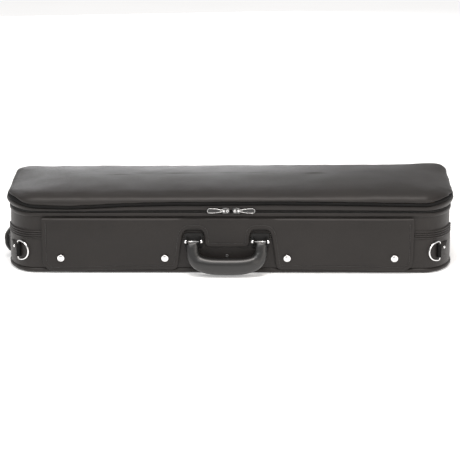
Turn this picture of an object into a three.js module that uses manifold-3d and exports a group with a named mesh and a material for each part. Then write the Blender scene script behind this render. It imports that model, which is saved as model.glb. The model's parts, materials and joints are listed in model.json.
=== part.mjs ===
// Oblong violin case, closed: a fabric-covered plywood base and lid on two back hinges, with a
// snap-down front flap, a carrying handle, a two-way zip, strap rings and a fitted interior.
// Millimetres, +Z up, +X to the right, the front faces -Y. Origin: centre of the base's underside.
import * as THREE from "three";
import { mergeVertices } from "three/addons/utils/BufferGeometryUtils.js";
import Module from "manifold-3d";

const wasm = await Module();
wasm.setup();

// ---- driving dimensions -------------------------------------------------------------------

const GAP = 0.3;
// The plan of the base cover's outer face: a long rectangle with elliptical corners, softer in front.
const PLAN = { halfX: 383.5, halfY: 123, cornerSteps: 7, deepest: -15 };
const FRONT_CORNER = { x: 52, y: 86 };
const BACK_CORNER = { x: 34, y: 46 };
const ZIP_Z = 108.5;
const ZIP_GAP = 1.0;
const BASE = { coverTop: 103, shellTop: 108, floor: 3, coverWall: 3, shellWall: 6 };
const PIPING = { offset: -1, z: 5, radius: 3.2 };
const LID_PIPING = { offset: 3, z: 121.5, radius: 2.5 };
const ZIP_TAPE = { bottom: 99, top: 111.4, face: 1.9 };
const POCKET = { bottom: 9, hemBottom: 60, top: 75, thickness: 1.7, hemThickness: 2.7 };
const FLAP = { x: -3, halfX: 319, top: 97.5, bottom: 5.5, thickness: 3.4, corner: 24, innerY: -126.4 };
// The handle's cut-out: an arch over each leg, a tongue between them and sides that flare downwards.
const CUTOUT = { archTop: 79, archHalf: 18, archCorner: 13, tongueZ: 47, flare: 85, foot: 10 };
const SNAP = { places: [-289.5, -110.8, 99, 282.8], z: 28, radius: 6.2, height: 2.6 };
const STUD = { radius: 4.6, height: 0.9 };
const HANDLE = { x: -4.2, spread: 57, pivotY: -141, pivotZ: 60 };
const PIN = { radius: 1.9, ballRadius: 3.1, clearance: 0.1 };
const COVER_SCREW = { radius: 3.4, z: 31 };
const RING = { turn: { left: 56, right: 60 }, z: 38.5, halfHeight: 17, depth: 23, wire: 1.6, standOff: 38 };
const RING_TAB = { span: 22, halfHeight: 12, thickness: 2, barrel: 3.5, rivet: 12, rivetLift: 3 };
const SLIDER = { centre: 3, spread: 8.8, lift: 1.8, length: 12.6, height: 10, thickness: 3, face: 2.8 };
const PULL = { length: 29, height: 7, thickness: 1.8, barrel: 1.4 };
const HINGE = { y: 128.6, z: 108.5, spread: 210, width: 50, barrel: 2.7, pin: 1.2, bore: 1.3 };
const BED = { left: -246, bottom: 20, top: 86, floorBottom: 8.7 };
const FLOOR_INSET = -15.6;
const VIOLIN = { x: 184, bodyLength: 356, clearance: 5 };
const NECK = { halfWidth: 32, scrollEnd: -232 };
const CRADLE = { x: -92, length: 44, notchRadius: 19, notchZ: 60 };
const NECK_STRAP = { x: -101, width: 26, halfSpan: 54, crown: 9, thickness: 1.9 };
const TRAY = { right: -250, wall: 3.5 };
const SPINNER = { x: 292, y: 42, length: 46, width: 12, thickness: 5, z: 124 };
const TIP_POCKET = { x: -285, length: 62, width: 34, thickness: 10, z: 124 };
const SPINE = { halfX: 325, bottom: 98, thickness: 1.5 };
const STAY = { halfX: 365, width: 12, anchorY: -8, foldY: 38, thickness: 1, bottom: 104, top: 113 };
const GRAB_STRAP = { y: -15, width: 24 };

// ---- materials ----------------------------------------------------------------------------

const finish = (color, roughness, metalness = 0) =>
  new THREE.MeshStandardMaterial({ color, roughness, metalness });
const MATERIALS = {
  fabric: finish(0x3a3838, 0.8),
  flapFabric: finish(0x343434, 0.85),
  piping: finish(0x232323, 0.7),
  tape: finish(0x1c1c1c, 0.85),
  plywood: finish(0x9a7a52, 0.7),
  plush: finish(0x2c4a3c, 0.95),
  webbing: finish(0x262626, 0.9),
  grip: finish(0x222222, 0.45),
  chrome: finish(0xd8d8dc, 0.15, 1),
};

// ---- solids from points -------------------------------------------------------------------

// A closed surface through a list of equal loops. The two ends are capped, or joined if `closed`.
function sweep(loops, closed = false) {
  const size = loops[0].length;
  const positions = loops.flat().flatMap((p) => [p.x, p.y, p.z]);
  const index = [];
  const spans = closed ? loops.length : loops.length - 1;
  for (let row = 0; row < spans; row++) {
    const next = (row + 1) % loops.length;
    for (let i = 0; i < size; i++) {
      const j = (i + 1) % size;
      const [a, b, c, d] = [row * size + i, row * size + j, next * size + j, next * size + i];
      index.push(a, b, c, a, c, d);
    }
  }
  if (!closed) {
    const last = (loops.length - 1) * size;
    for (let i = 1; i < size - 1; i++) {
      index.push(0, i + 1, i);
      index.push(last, last + i, last + i + 1);
    }
  }
  const geometry = new THREE.BufferGeometry();
  geometry.setAttribute("position", new THREE.Float32BufferAttribute(positions, 3));
  geometry.setIndex(index);
  return facingOut(geometry);
}

function signedVolume(geometry) {
  const place = geometry.getAttribute("position");
  const index = geometry.getIndex();
  const corners = [new THREE.Vector3(), new THREE.Vector3(), new THREE.Vector3()];
  let volume = 0;
  for (let i = 0; i < index.count; i += 3) {
    corners.forEach((corner, k) => corner.fromBufferAttribute(place, index.getX(i + k)));
    volume += corners[0].dot(corners[1].cross(corners[2])) / 6;
  }
  return volume;
}

function facingOut(geometry) {
  if (signedVolume(geometry) < 0) {
    const index = geometry.getIndex();
    for (let i = 0; i < index.count; i += 3) {
      const first = index.getX(i);
      index.setX(i, index.getX(i + 1));
      index.setX(i + 1, first);
    }
  }
  return geometry;
}

function toSolid(geometry) {
  const bare = geometry.index ? geometry.toNonIndexed() : geometry.clone();
  bare.deleteAttribute("normal");
  bare.deleteAttribute("uv");
  const merged = mergeVertices(bare, 1e-3);
  return new wasm.Manifold(
    new wasm.Mesh({
      numProp: 3,
      vertProperties: merged.attributes.position.array,
      triVerts: new Uint32Array(merged.index.array),
    }),
  );
}

function toGeometry(solid) {
  const mesh = solid.getMesh();
  const geometry = new THREE.BufferGeometry();
  geometry.setAttribute("position", new THREE.BufferAttribute(mesh.vertProperties, 3));
  geometry.setIndex(new THREE.BufferAttribute(mesh.triVerts, 1));
  return geometry;
}

function join(...geometries) {
  return toGeometry(geometries.map(toSolid).reduce((whole, piece) => whole.add(piece)));
}

function cut(geometry, ...tools) {
  return toGeometry(tools.map(toSolid).reduce((whole, tool) => whole.subtract(tool), toSolid(geometry)));
}

// ---- simple shapes ------------------------------------------------------------------------

function box(low, high) {
  const size = high.map((value, axis) => value - low[axis]);
  const middle = high.map((value, axis) => (value + low[axis]) / 2);
  return new THREE.BoxGeometry(...size).translate(...middle);
}

// A cylinder along X, Y or Z, from one end to the other.
function rod(axis, radius, from, to, at, sides = 16) {
  const geometry = new THREE.CylinderGeometry(radius, radius, to - from, sides);
  geometry.translate(0, (from + to) / 2, 0);
  if (axis === "x") geometry.rotateZ(-Math.PI / 2);
  if (axis === "z") geometry.rotateX(Math.PI / 2);
  return geometry.translate(...at);
}

// A turned piece: `profile` holds [radius, height] pairs that start and end on the axis, which is +Z.
function turned(profile, sides = 16) {
  const points = profile.map(([radius, height]) => new THREE.Vector2(radius, height));
  return new THREE.LatheGeometry(points, sides).rotateX(Math.PI / 2);
}

// A flat shape drawn in X and Z, as thick as `depth`, whose front face is at y = front.
function upright(shape, front, depth, curveSegments = 5) {
  const geometry = new THREE.ExtrudeGeometry(shape, { depth, bevelEnabled: false, curveSegments });
  return geometry.rotateX(Math.PI / 2).translate(0, front + depth, 0);
}

// A flat shape drawn in X and Y, from one height to another.
function flat(shape, bottom, top, curveSegments = 5) {
  const depth = top - bottom;
  const geometry = new THREE.ExtrudeGeometry(shape, { depth, bevelEnabled: false, curveSegments });
  return geometry.translate(0, 0, bottom);
}

// ---- the case's plan ----------------------------------------------------------------------

// The point at a share of one corner's turn: quarter 0 is back left, 1 front left, 2 front right.
function cornerPoint(quarter, share, offset) {
  const halfX = PLAN.halfX + offset;
  const halfY = PLAN.halfY + offset;
  const sideX = quarter < 2 ? -1 : 1;
  const sideY = quarter === 0 || quarter === 3 ? 1 : -1;
  const corner = sideY > 0 ? BACK_CORNER : FRONT_CORNER;
  const radiusX = corner.x + Math.max(offset, PLAN.deepest);
  const radiusY = Math.min(corner.y + Math.max(offset, PLAN.deepest), halfY - 1);
  const turn = ((quarter + share) * Math.PI) / 2;
  return new THREE.Vector2(
    sideX * (halfX - radiusX) - radiusX * Math.sin(turn),
    sideY * (halfY - radiusY) + radiusY * Math.cos(turn),
  );
}

// The whole outline, from the middle of the back round the left end, the front and the right end.
function outline(offset) {
  const points = [];
  for (let quarter = 0; quarter < 4; quarter++) {
    for (let i = 0; i <= PLAN.cornerSteps; i++) {
      points.push(cornerPoint(quarter, i / PLAN.cornerSteps, offset));
    }
  }
  return points;
}

const atHeight = (point, z) => new THREE.Vector3(point.x, point.y, z);
const loop = ([offset, z]) => outline(offset).map((point) => atHeight(point, z));

// A tray or dome: a profile of [offset, z] pairs whose first and last loop are closed flat.
const shell = (profile) => sweep(profile.map(loop));

// A band all the way round: a closed section of [offset, z] pairs.
const hoop = (section) => sweep(section.map(loop), true);

// A band round the left end, the front and the right end, which stops in both back corners.
function frontBand(section, skipped) {
  const count = outline(0).length;
  const loops = [];
  for (let i = skipped; i < count - skipped; i++) {
    loops.push(section.map(([offset, z]) => atHeight(outline(offset)[i], z)));
  }
  return sweep(loops);
}

// How many outline points the zip and the pocket leave free at the back.
const ZIP_SKIP = 3;
const POCKET_SKIP = 9;

const rectangle = (inner, outer, bottom, top) => [
  [inner, bottom],
  [outer, bottom],
  [outer, top],
  [inner, top],
];

function roundSection(offset, z, radius, sides = 8) {
  return Array.from({ length: sides }, (_, i) => {
    const turn = ((i + 0.5) / sides) * 2 * Math.PI;
    return [offset + radius * Math.cos(turn), z + radius * Math.sin(turn)];
  });
}

// The outline at an offset, kept only on one side of a cut at x = cutX, as a loop at height z.
function trimmedLoop(offset, z, cutX, keepRight) {
  return outline(offset).map((point) => {
    const x = keepRight ? Math.max(point.x, cutX) : Math.min(point.x, cutX);
    return new THREE.Vector3(x, point.y, z);
  });
}

// ---- the tree -----------------------------------------------------------------------------

const caseGroup = new THREE.Group();

function add(name, geometry, material) {
  const mesh = new THREE.Mesh(geometry, MATERIALS[material]);
  mesh.name = name;
  caseGroup.add(mesh);
  return mesh;
}

const SIDES = [
  ["left", -1],
  ["right", 1],
];

// ---- base ---------------------------------------------------------------------------------

function addBase() {
  const shellOuter = -BASE.coverWall - GAP;
  const shellInner = shellOuter - BASE.shellWall;
  add("base_cover", shell([
    [-4.6, 0],
    [-4.6, 8.6],
    [0, 8.6],
    [0, BASE.coverTop],
    [-BASE.coverWall, BASE.coverTop],
    [-BASE.coverWall, 14],
    [-10, BASE.floor],
  ]), "fabric");
  add("base_shell", shell([
    [-10.4, BASE.floor + GAP],
    [shellOuter, 14.4],
    [shellOuter, BASE.shellTop],
    [shellInner, BASE.shellTop],
    [shellInner, 16],
    [-15, BASE.floor + GAP + 5],
  ]), "plywood");
  add("base_piping", hoop(roundSection(PIPING.offset, PIPING.z, PIPING.radius)), "piping");
  const lining = rectangle(shellInner - 1.9, shellInner - GAP, BED.top + 0.6, BASE.shellTop - 2);
  add("base_lining", hoop(lining), "plush");
  const tape = rectangle(GAP, ZIP_TAPE.face, ZIP_TAPE.bottom, ZIP_Z - ZIP_GAP / 2);
  add("zip_track_lower", frontBand(tape, ZIP_SKIP), "tape");
  const panel = rectangle(GAP, GAP + POCKET.thickness, POCKET.bottom, POCKET.hemBottom - GAP);
  add("front_pocket", frontBand(panel, POCKET_SKIP), "fabric");
  const hem = rectangle(GAP, GAP + POCKET.hemThickness, POCKET.hemBottom, POCKET.top);
  add("pocket_hem", frontBand(hem, POCKET_SKIP), "fabric");
}

// ---- interior -----------------------------------------------------------------------------

// Half the width of a violin's body at a share of its length, from the lower end to the neck end.
const BODY_WIDTHS = [0, 62, 92, 104, 100, 78, 58, 55, 66, 82, 84, 72, 40];

function cavityShape() {
  const start = VIOLIN.x + VIOLIN.bodyLength / 2 + VIOLIN.clearance;
  const length = VIOLIN.bodyLength + 2 * VIOLIN.clearance;
  const controls = BODY_WIDTHS.map((width, i) => {
    const along = i / (BODY_WIDTHS.length - 1);
    return new THREE.Vector2(start - length * along, -(width + (i ? VIOLIN.clearance : 0)));
  });
  const side = new THREE.SplineCurve(controls).getPoints(20);
  const nearSide = side.filter((point) => point.y < -NECK.halfWidth);
  const lower = [...nearSide, new THREE.Vector2(NECK.scrollEnd, -NECK.halfWidth)];
  const upper = lower.map((point) => new THREE.Vector2(point.x, -point.y)).reverse();
  return new THREE.Shape([...lower, ...upper]);
}

function addInterior() {
  const inset = -BASE.coverWall - BASE.shellWall - 2 * GAP;
  const bedBlock = sweep([BED.bottom, BED.top].map((z) => trimmedLoop(inset, z, BED.left, true)));
  const cavity = flat(cavityShape(), BED.bottom - 1, BED.top + 1);
  add("instrument_bed", cut(bedBlock, cavity), "plush");
  const floorHeights = [BED.floorBottom, BED.bottom - GAP];
  const floorLoops = floorHeights.map((z) => trimmedLoop(FLOOR_INSET, z, BED.left, true));
  add("bed_floor_pad", sweep(floorLoops), "plush");
  const trayInset = FLOOR_INSET - TRAY.wall;
  add("accessory_tray", sweep([
    trimmedLoop(FLOOR_INSET, BED.floorBottom, TRAY.right, false),
    trimmedLoop(FLOOR_INSET, BED.top, TRAY.right, false),
    trimmedLoop(trayInset, BED.top, TRAY.right - TRAY.wall, false),
    trimmedLoop(trayInset, BED.floorBottom + TRAY.wall, TRAY.right - TRAY.wall, false),
  ]), "plush");
  addNeckCradle();
}

// A padded block with a round notch that carries the neck, and the soft strap over it.
function addNeckCradle() {
  const halfWidth = NECK.halfWidth - 1;
  const { notchRadius, notchZ } = CRADLE;
  const block = new THREE.Shape();
  block.moveTo(-halfWidth, BED.bottom);
  block.lineTo(halfWidth, BED.bottom);
  block.lineTo(halfWidth, notchZ);
  block.lineTo(notchRadius, notchZ);
  block.absarc(0, notchZ, notchRadius, 0, -Math.PI, true);
  block.lineTo(-halfWidth, notchZ);
  const cradle = upright(block, 0, CRADLE.length, 8).rotateZ(Math.PI / 2);
  add("neck_cradle", cradle, "plush").position.set(CRADLE.x, 0, 0);
  const { halfSpan, crown, thickness } = NECK_STRAP;
  const under = BED.top + GAP;
  const strap = new THREE.Shape();
  strap.moveTo(-halfSpan, under);
  strap.quadraticCurveTo(0, under + crown, halfSpan, under);
  strap.lineTo(halfSpan, under + thickness);
  strap.quadraticCurveTo(0, under + crown + thickness, -halfSpan, under + thickness);
  const band = upright(strap, 0, NECK_STRAP.width, 8).rotateZ(Math.PI / 2);
  add("neck_strap", band, "webbing").position.set(NECK_STRAP.x, 0, 0);
}

// ---- lid ----------------------------------------------------------------------------------

function addLid() {
  const lidBottom = ZIP_Z + ZIP_GAP / 2;
  add("lid_cover", shell([
    [-90, 146.5],
    [-50, 143.8],
    [-22, 140.2],
    [-8, 137.2],
    [0, 133.6],
    [4, 129],
    [4.4, 124.4],
    [-0.7, 124.4],
    [-0.7, 128.6],
    [-4, 132],
    [-10, 134.2],
    [-24, 137.2],
    [-52, 140.6],
    [-88, 143],
  ]), "fabric");
  add("lid_shell", shell([
    [-88, 142.6],
    [-52.1, 140.2],
    [-24.1, 136.8],
    [-10.1, 133.8],
    [-4.2, 131.6],
    [-1, 128.3],
    [-1, lidBottom + 0.3],
    [-6.5, lidBottom + 0.3],
    [-6.5, 126.4],
    [-11, 129.4],
    [-25, 132.4],
    [-53, 135.8],
    [-88, 138.2],
  ]), "plywood");
  add("lid_lining", shell([
    [-88, 137.9],
    [-53.1, 135.4],
    [-25.1, 132],
    [-11.2, 129],
    [-6.8, 126.1],
    [-6.8, lidBottom + 0.8],
    [-8.6, lidBottom + 0.8],
    [-8.6, 125.2],
    [-12.4, 127.4],
    [-26, 130.2],
    [-54, 133.6],
    [-88, 136],
  ]), "plush");
  add("lid_piping", hoop(roundSection(LID_PIPING.offset, LID_PIPING.z, LID_PIPING.radius)), "piping");
  const tape = rectangle(GAP, ZIP_TAPE.face, lidBottom, ZIP_TAPE.top);
  add("zip_track_upper", frontBand(tape, ZIP_SKIP), "tape");
  const gussetTop = LID_PIPING.z - LID_PIPING.radius - GAP;
  add("lid_gusset", hoop(rectangle(-0.7, 2.4, ZIP_TAPE.top + GAP, gussetTop)), "fabric");
}

// Turn-buttons that hold the bows' frogs, and the pockets that take their tips.
function addBowHolders() {
  [1, -1].forEach((side, i) => {
    const halfLength = SPINNER.length / 2;
    const bar = new THREE.Shape();
    bar.absarc(halfLength - SPINNER.width / 2, 0, SPINNER.width / 2, -Math.PI / 2, Math.PI / 2);
    bar.absarc(SPINNER.width / 2 - halfLength, 0, SPINNER.width / 2, Math.PI / 2, Math.PI * 1.5);
    const button = join(
      flat(bar, 0, SPINNER.thickness, 6),
      rod("z", 4, SPINNER.thickness - 1, 8.2, [0, 0, 0], 12),
    );
    const y = side * SPINNER.y;
    add("bow_spinner_" + (i + 1), button, "grip").position.set(SPINNER.x, y, SPINNER.z);
    const halfWidth = TIP_POCKET.width / 2;
    const length = TIP_POCKET.length;
    const top = TIP_POCKET.thickness;
    const pocket = cut(
      box([0, -halfWidth, 0], [length, halfWidth, top]),
      box([6, 4 - halfWidth, 2.5], [length + 1, halfWidth - 4, top - 2.5]),
    );
    add("bow_tip_pocket_" + (i + 1), pocket, "plush").position.set(TIP_POCKET.x, y, TIP_POCKET.z);
  });
}

// ---- hinges, stays and the fabric spine -----------------------------------------------------

function addHinges() {
  const half = HINGE.width / 2;
  const middle = 8.2;
  const axis = [0, HINGE.y, HINGE.z];
  const bore = rod("x", HINGE.bore, -half - 1, half + 1, axis, 12);
  const barrel = (from, to) => rod("x", HINGE.barrel, from, to, axis, 16);
  const web = HINGE.y - HINGE.barrel;
  const lower = cut(
    join(
      box([-half, web - 0.9, 90], [half, web + 0.8, HINGE.z - 3.4]),
      box([-half, web - 0.9, HINGE.z - 4], [-middle - GAP, web + 0.8, HINGE.z]),
      box([middle + GAP, web - 0.9, HINGE.z - 4], [half, web + 0.8, HINGE.z]),
      barrel(-half, -middle - GAP),
      barrel(middle + GAP, half),
    ),
    bore,
  );
  const upper = cut(
    join(
      box([-half, web - 0.1, HINGE.z + 3.6], [half, web + 1.4, 118.5]),
      box([-middle, web - 0.1, HINGE.z + 0.5], [middle, web + 1.4, HINGE.z + 4]),
      barrel(-middle, middle),
    ),
    bore,
  );
  const pin = join(
    rod("x", HINGE.pin, -half - 1.5, half + 1.5, axis, 12),
    rod("x", 2.2, half + GAP, half + 1.5, axis, 12),
    rod("x", 2.2, -half - 1.5, -half - GAP, axis, 12),
  );
  SIDES.forEach(([side, sign]) => {
    const x = sign * HINGE.spread;
    add("hinge_leaf_lower_" + side, lower.clone(), "chrome").position.x = x;
    add("hinge_leaf_upper_" + side, upper.clone(), "chrome").position.x = x;
    add("hinge_pin_" + side, pin.clone(), "chrome").position.x = x;
  });
}

function addSpine() {
  const inner = PLAN.halfY + GAP;
  const low = [-SPINE.halfX, inner, SPINE.bottom];
  const high = [SPINE.halfX, inner + SPINE.thickness, ZIP_TAPE.top];
  add("spine_strip", box(low, high), "fabric");
}

// The ribbon that stops each end of the lid, folded flat at the height of the rim.
function addStays() {
  SIDES.forEach(([side, sign]) => {
    const fold = new THREE.Shape();
    fold.moveTo(STAY.anchorY, STAY.bottom);
    fold.lineTo(STAY.foldY, ZIP_Z);
    fold.lineTo(STAY.anchorY, STAY.top);
    fold.lineTo(STAY.anchorY, STAY.top - STAY.thickness);
    fold.lineTo(STAY.foldY - 8, ZIP_Z);
    fold.lineTo(STAY.anchorY, STAY.bottom + STAY.thickness);
    const ribbon = upright(fold, -STAY.width / 2, STAY.width).rotateZ(Math.PI / 2);
    add("lid_stay_" + side, ribbon, "webbing").position.set(sign * STAY.halfX, 0, 0);
  });
}

// ---- front flap and snaps -------------------------------------------------------------------

// Rounds the corner at (x, z): `from` and `to` are the steps from it to where the curve ends.
function roundCorner(shape, x, z, from, to) {
  shape.lineTo(x + from[0], z + from[1]);
  shape.quadraticCurveTo(x, z, x + to[0], z + to[1]);
}

// The flap's outline in X and Z: a wide sheet with a tongue between two arches that clear the handle.
function flapShape() {
  const { top, bottom, corner } = FLAP;
  const { flare, foot, tongueZ, archHalf } = CUTOUT;
  const [left, right] = [FLAP.x - FLAP.halfX, FLAP.x + FLAP.halfX];
  const [leftPin, rightPin] = [HANDLE.x - HANDLE.spread, HANDLE.x + HANDLE.spread];
  const shape = new THREE.Shape();
  shape.moveTo(left, top);
  roundCorner(shape, left, bottom, [0, corner], [corner, 0]);
  roundCorner(shape, HANDLE.x - flare, bottom, [-foot, 0], [0, foot]);
  arch(shape, leftPin);
  roundCorner(shape, leftPin + archHalf, tongueZ, [0, foot], [foot, 0]);
  roundCorner(shape, rightPin - archHalf, tongueZ, [-foot, 0], [0, foot]);
  arch(shape, rightPin);
  roundCorner(shape, HANDLE.x + flare, bottom, [0, foot], [foot, 0]);
  roundCorner(shape, right, bottom, [-corner, 0], [0, corner]);
  shape.lineTo(right, top);
  return shape;
}

// An arch over the handle bracket at x, from its left side to its right side.
function arch(shape, x) {
  const { archHalf, archTop, archCorner } = CUTOUT;
  roundCorner(shape, x - archHalf, archTop, [0, -archCorner], [archCorner, 0]);
  roundCorner(shape, x + archHalf, archTop, [-archCorner, 0], [0, -archCorner]);
}

function addFlap() {
  const front = FLAP.innerY - FLAP.thickness;
  add("front_flap", upright(flapShape(), front, FLAP.thickness, 4), "flapFabric");
  const dome = [[0, 0], [SNAP.radius, 0], [SNAP.radius, 1], [4.2, SNAP.height], [0, SNAP.height]];
  const cap = turned(dome).rotateX(Math.PI / 2);
  const disc = [[0, 0], [STUD.radius, 0], [STUD.radius, STUD.height], [0, STUD.height]];
  const stud = turned(disc, 12).rotateX(Math.PI / 2);
  const panel = PLAN.halfY + GAP + POCKET.thickness;
  SNAP.places.forEach((x, i) => {
    add("snap_cap_" + (i + 1), cap.clone(), "chrome").position.set(x, front - GAP, SNAP.z);
    add("snap_stud_" + (i + 1), stud.clone(), "chrome").position.set(x, -panel - GAP, SNAP.z);
  });
}

// ---- carrying handle ------------------------------------------------------------------------

// The grip's centre line from one pivot round the belly to the other, with its section's half sizes.
function gripSections() {
  const path = [
    [1, 4.6, 0.8, 8.6, 3.6],
    [1, 1, 0.4, 9.2, 5.6],
    [1, -8, 0, 10, 7.4],
    [1, -16, -1, 10.4, 8.2],
    [0.97, -24, -2.6, 10.8, 9.2],
    [0.89, -31.5, -4.5, 11.6, 10.4],
    [0.74, -37.6, -6.6, 12.4, 11.4],
    [0.46, -41, -8.4, 13.2, 12.3],
    [0, -41.5, -9, 13.4, 12.6],
  ];
  const left = path.map(([share, z, y, ...half]) => [-share, z, y, ...half]);
  const stations = [...left, ...path.slice(0, -1).reverse()].map(([share, z, y, ...half]) => ({
    centre: new THREE.Vector3(share * HANDLE.spread, y, z),
    half,
  }));
  return stations.map(({ centre, half }, i) => {
    const before = stations[Math.max(i - 1, 0)].centre;
    const after = stations[Math.min(i + 1, stations.length - 1)].centre;
    const along = after.clone().sub(before).setY(0).normalize();
    const across = new THREE.Vector3(-along.z, 0, along.x);
    return Array.from({ length: 12 }, (_, k) => {
      const turn = ((k + 0.5) / 12) * 2 * Math.PI;
      const wide = Math.sign(Math.cos(turn)) * Math.abs(Math.cos(turn)) ** 0.75 * half[0];
      const deep = Math.sign(Math.sin(turn)) * Math.abs(Math.sin(turn)) ** 0.75 * half[1];
      return centre.clone().addScaledVector(across, wide).setY(centre.y + deep);
    });
  });
}

function addHandle() {
  const [x, y, z] = [HANDLE.x, HANDLE.pivotY, HANDLE.pivotZ];
  const bores = [-1, 1].map((side) => {
    const middle = side * HANDLE.spread;
    return rod("x", PIN.radius + PIN.clearance, middle - 15, middle + 15, [0, 0, 0], 16);
  });
  add("handle_grip", cut(sweep(gripSections()), ...bores), "grip").position.set(x, y, z);
  const plateFront = -PLAN.halfY - 2 * GAP - POCKET.hemThickness;
  const plate = box([-12, plateFront - 2, -15], [12, plateFront, 14]).translate(0, -y, 0);
  const ears = [-1, 1].map((side) => {
    const from = side < 0 ? -12 : 9.9;
    return join(
      rod("x", 6, from, from + 2.1, [0, 0, 0], 20),
      box([from, 0, -6], [from + 2.1, plateFront - y - 0.5, 6]),
    );
  });
  const bore = rod("x", PIN.radius + PIN.clearance, -20, 20, [0, 0, 0], 16);
  const bracket = cut(join(plate, ...ears), bore);
  const shank = [[0, -1], [PIN.radius, -1], [PIN.radius, 12.2]];
  const ball = [[PIN.ballRadius, 13.4], [PIN.ballRadius, 15.4], [2, 17], [0, 17.4]];
  const end = turned([...shank, ...ball]).rotateY(Math.PI / 2);
  const pin = join(end, end.clone().rotateZ(Math.PI));
  SIDES.forEach(([side, sign]) => {
    add("handle_bracket_" + side, bracket.clone(), "grip").position.set(x + sign * HANDLE.spread, y, z);
    add("handle_pin_" + side, pin.clone(), "chrome").position.set(x + sign * HANDLE.spread, y, z);
  });
  const head = [[0, 0], [COVER_SCREW.radius, 0], [COVER_SCREW.radius, 0.8], [2, 1.8], [0, 1.8]];
  const screw = turned(head, 12).rotateX(Math.PI / 2);
  const panel = PLAN.halfY + POCKET.thickness + 2 * GAP;
  add("cover_screw", screw, "chrome").position.set(x, -panel, COVER_SCREW.z);
}

// ---- strap rings ----------------------------------------------------------------------------

// A place on the front left corner, by its turn in degrees, and the outward direction there.
function onCorner(turnDegrees, offset) {
  const share = turnDegrees / 90;
  const inner = cornerPoint(1, share, 0);
  const outward = cornerPoint(1, share + 0.005, 0).sub(cornerPoint(1, share - 0.005, 0)).normalize();
  const normal = new THREE.Vector2(outward.y, -outward.x);
  return { point: inner.addScaledVector(normal, offset), normal };
}

function ringTab(ringTurn) {
  const half = RING_TAB.halfHeight;
  const under = GAP + POCKET.thickness + GAP;
  const loops = [];
  for (let turn = ringTurn - RING_TAB.span; turn <= ringTurn; turn += 5.5) {
    const low = onCorner(turn, under).point;
    const high = onCorner(turn, under + RING_TAB.thickness).point;
    loops.push([
      atHeight(low, RING.z - half),
      atHeight(high, RING.z - half),
      atHeight(high, RING.z + half),
      atHeight(low, RING.z + half),
    ]);
  }
  const hub = onCorner(ringTurn, under + 3.6).point;
  const barrel = rod("z", RING_TAB.barrel, -half, half, [hub.x, hub.y, RING.z], 16);
  const bore = rod("z", RING.wire + 0.4, -half - 1, half + 1, [hub.x, hub.y, RING.z], 12);
  return { tab: cut(join(sweep(loops), barrel), bore), hub };
}

// A D of round wire in the XZ plane: a straight bar on the Z axis and an arc towards +X.
function ringWire() {
  const arcSteps = 16;
  const path = Array.from({ length: arcSteps + 1 }, (_, i) => {
    const turn = (i / arcSteps - 0.5) * Math.PI;
    return new THREE.Vector3(RING.depth * Math.cos(turn) ** 0.8, 0, RING.halfHeight * Math.sin(turn));
  });
  const loops = path.map((centre, i) => {
    const before = path[(i + path.length - 1) % path.length];
    const after = path[(i + 1) % path.length];
    const along = after.clone().sub(before).normalize();
    const across = new THREE.Vector3(along.z, 0, -along.x);
    return Array.from({ length: 8 }, (_, k) => {
      const turn = ((k + 0.5) / 8) * 2 * Math.PI;
      return centre
        .clone()
        .addScaledVector(across, RING.wire * Math.cos(turn))
        .setY(RING.wire * Math.sin(turn));
    });
  });
  return sweep(loops, true);
}

function mirrored(geometry) {
  return toGeometry(toSolid(geometry).mirror([1, 0, 0]));
}

function addRing(side) {
  const { tab, hub } = ringTab(RING.turn[side]);
  const onTab = GAP + POCKET.thickness + 2 * GAP + RING_TAB.thickness;
  const { point, normal } = onCorner(RING.turn[side] - RING_TAB.rivet, onTab);
  const lean = THREE.MathUtils.degToRad(-RING.standOff);
  const ring = ringWire().rotateZ(lean).translate(hub.x, hub.y, RING.z);
  const rivet = turned([[0, 0], [3.6, 0], [3.6, 0.6], [2.2, 1.5], [0, 1.5]], 12)
    .rotateY(Math.PI / 2)
    .rotateZ(Math.atan2(normal.y, normal.x))
    .translate(point.x, point.y, RING.z + RING_TAB.rivetLift);
  const pieces = [
    ["d_ring_tab", tab, "webbing"],
    ["d_ring", ring, "chrome"],
    ["tab_rivet", rivet, "chrome"],
  ];
  pieces.forEach(([name, geometry, material]) => {
    add(name + "_" + side, side === "left" ? geometry : mirrored(geometry), material);
  });
}

// ---- zip sliders and pulls ------------------------------------------------------------------

function addZips() {
  const half = SLIDER.length / 2;
  const low = SLIDER.lift - SLIDER.height / 2;
  const high = SLIDER.lift + SLIDER.height / 2;
  const front = -PLAN.halfY - SLIDER.face;
  const plate = box([-half, front - SLIDER.thickness, low], [half, front, high]);
  const pivotX = half - 3;
  const pivotY = front - SLIDER.thickness - 0.2;
  const lugs = [-4.6, 2.7].map((from) => {
    const bottom = SLIDER.lift + from;
    return box([pivotX - 1.8, pivotY - 1.8, bottom], [pivotX + 1.8, front - 1, bottom + 1.9]);
  });
  const post = box([2 - half, front - 1, -0.2], [half - 2, -PLAN.halfY - 0.4, 0.2]);
  const slotLow = [pivotX - 2.2, pivotY - 3, SLIDER.lift - 2.7];
  const slot = box(slotLow, [half + 1, front - 1.2, SLIDER.lift + 2.7]);
  const slider = cut(join(plate, ...lugs, post), slot);
  const tab = upright(pullShape(), pivotY - PULL.thickness / 2, PULL.thickness, 5);
  const pull = join(tab, rod("z", PULL.barrel, -2.4, 2.4, [0, pivotY, 0], 12));
  pull.translate(pivotX, 0, SLIDER.lift);
  SIDES.forEach(([side, sign]) => {
    const x = SLIDER.centre + sign * SLIDER.spread;
    const ways = [["zip_slider_", slider], ["zip_pull_", pull]];
    ways.forEach(([name, geometry]) => {
      const facing = sign < 0 ? mirrored(geometry) : geometry;
      add(name + side, facing, "chrome").position.set(x, 0, ZIP_Z);
    });
  });
}

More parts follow.
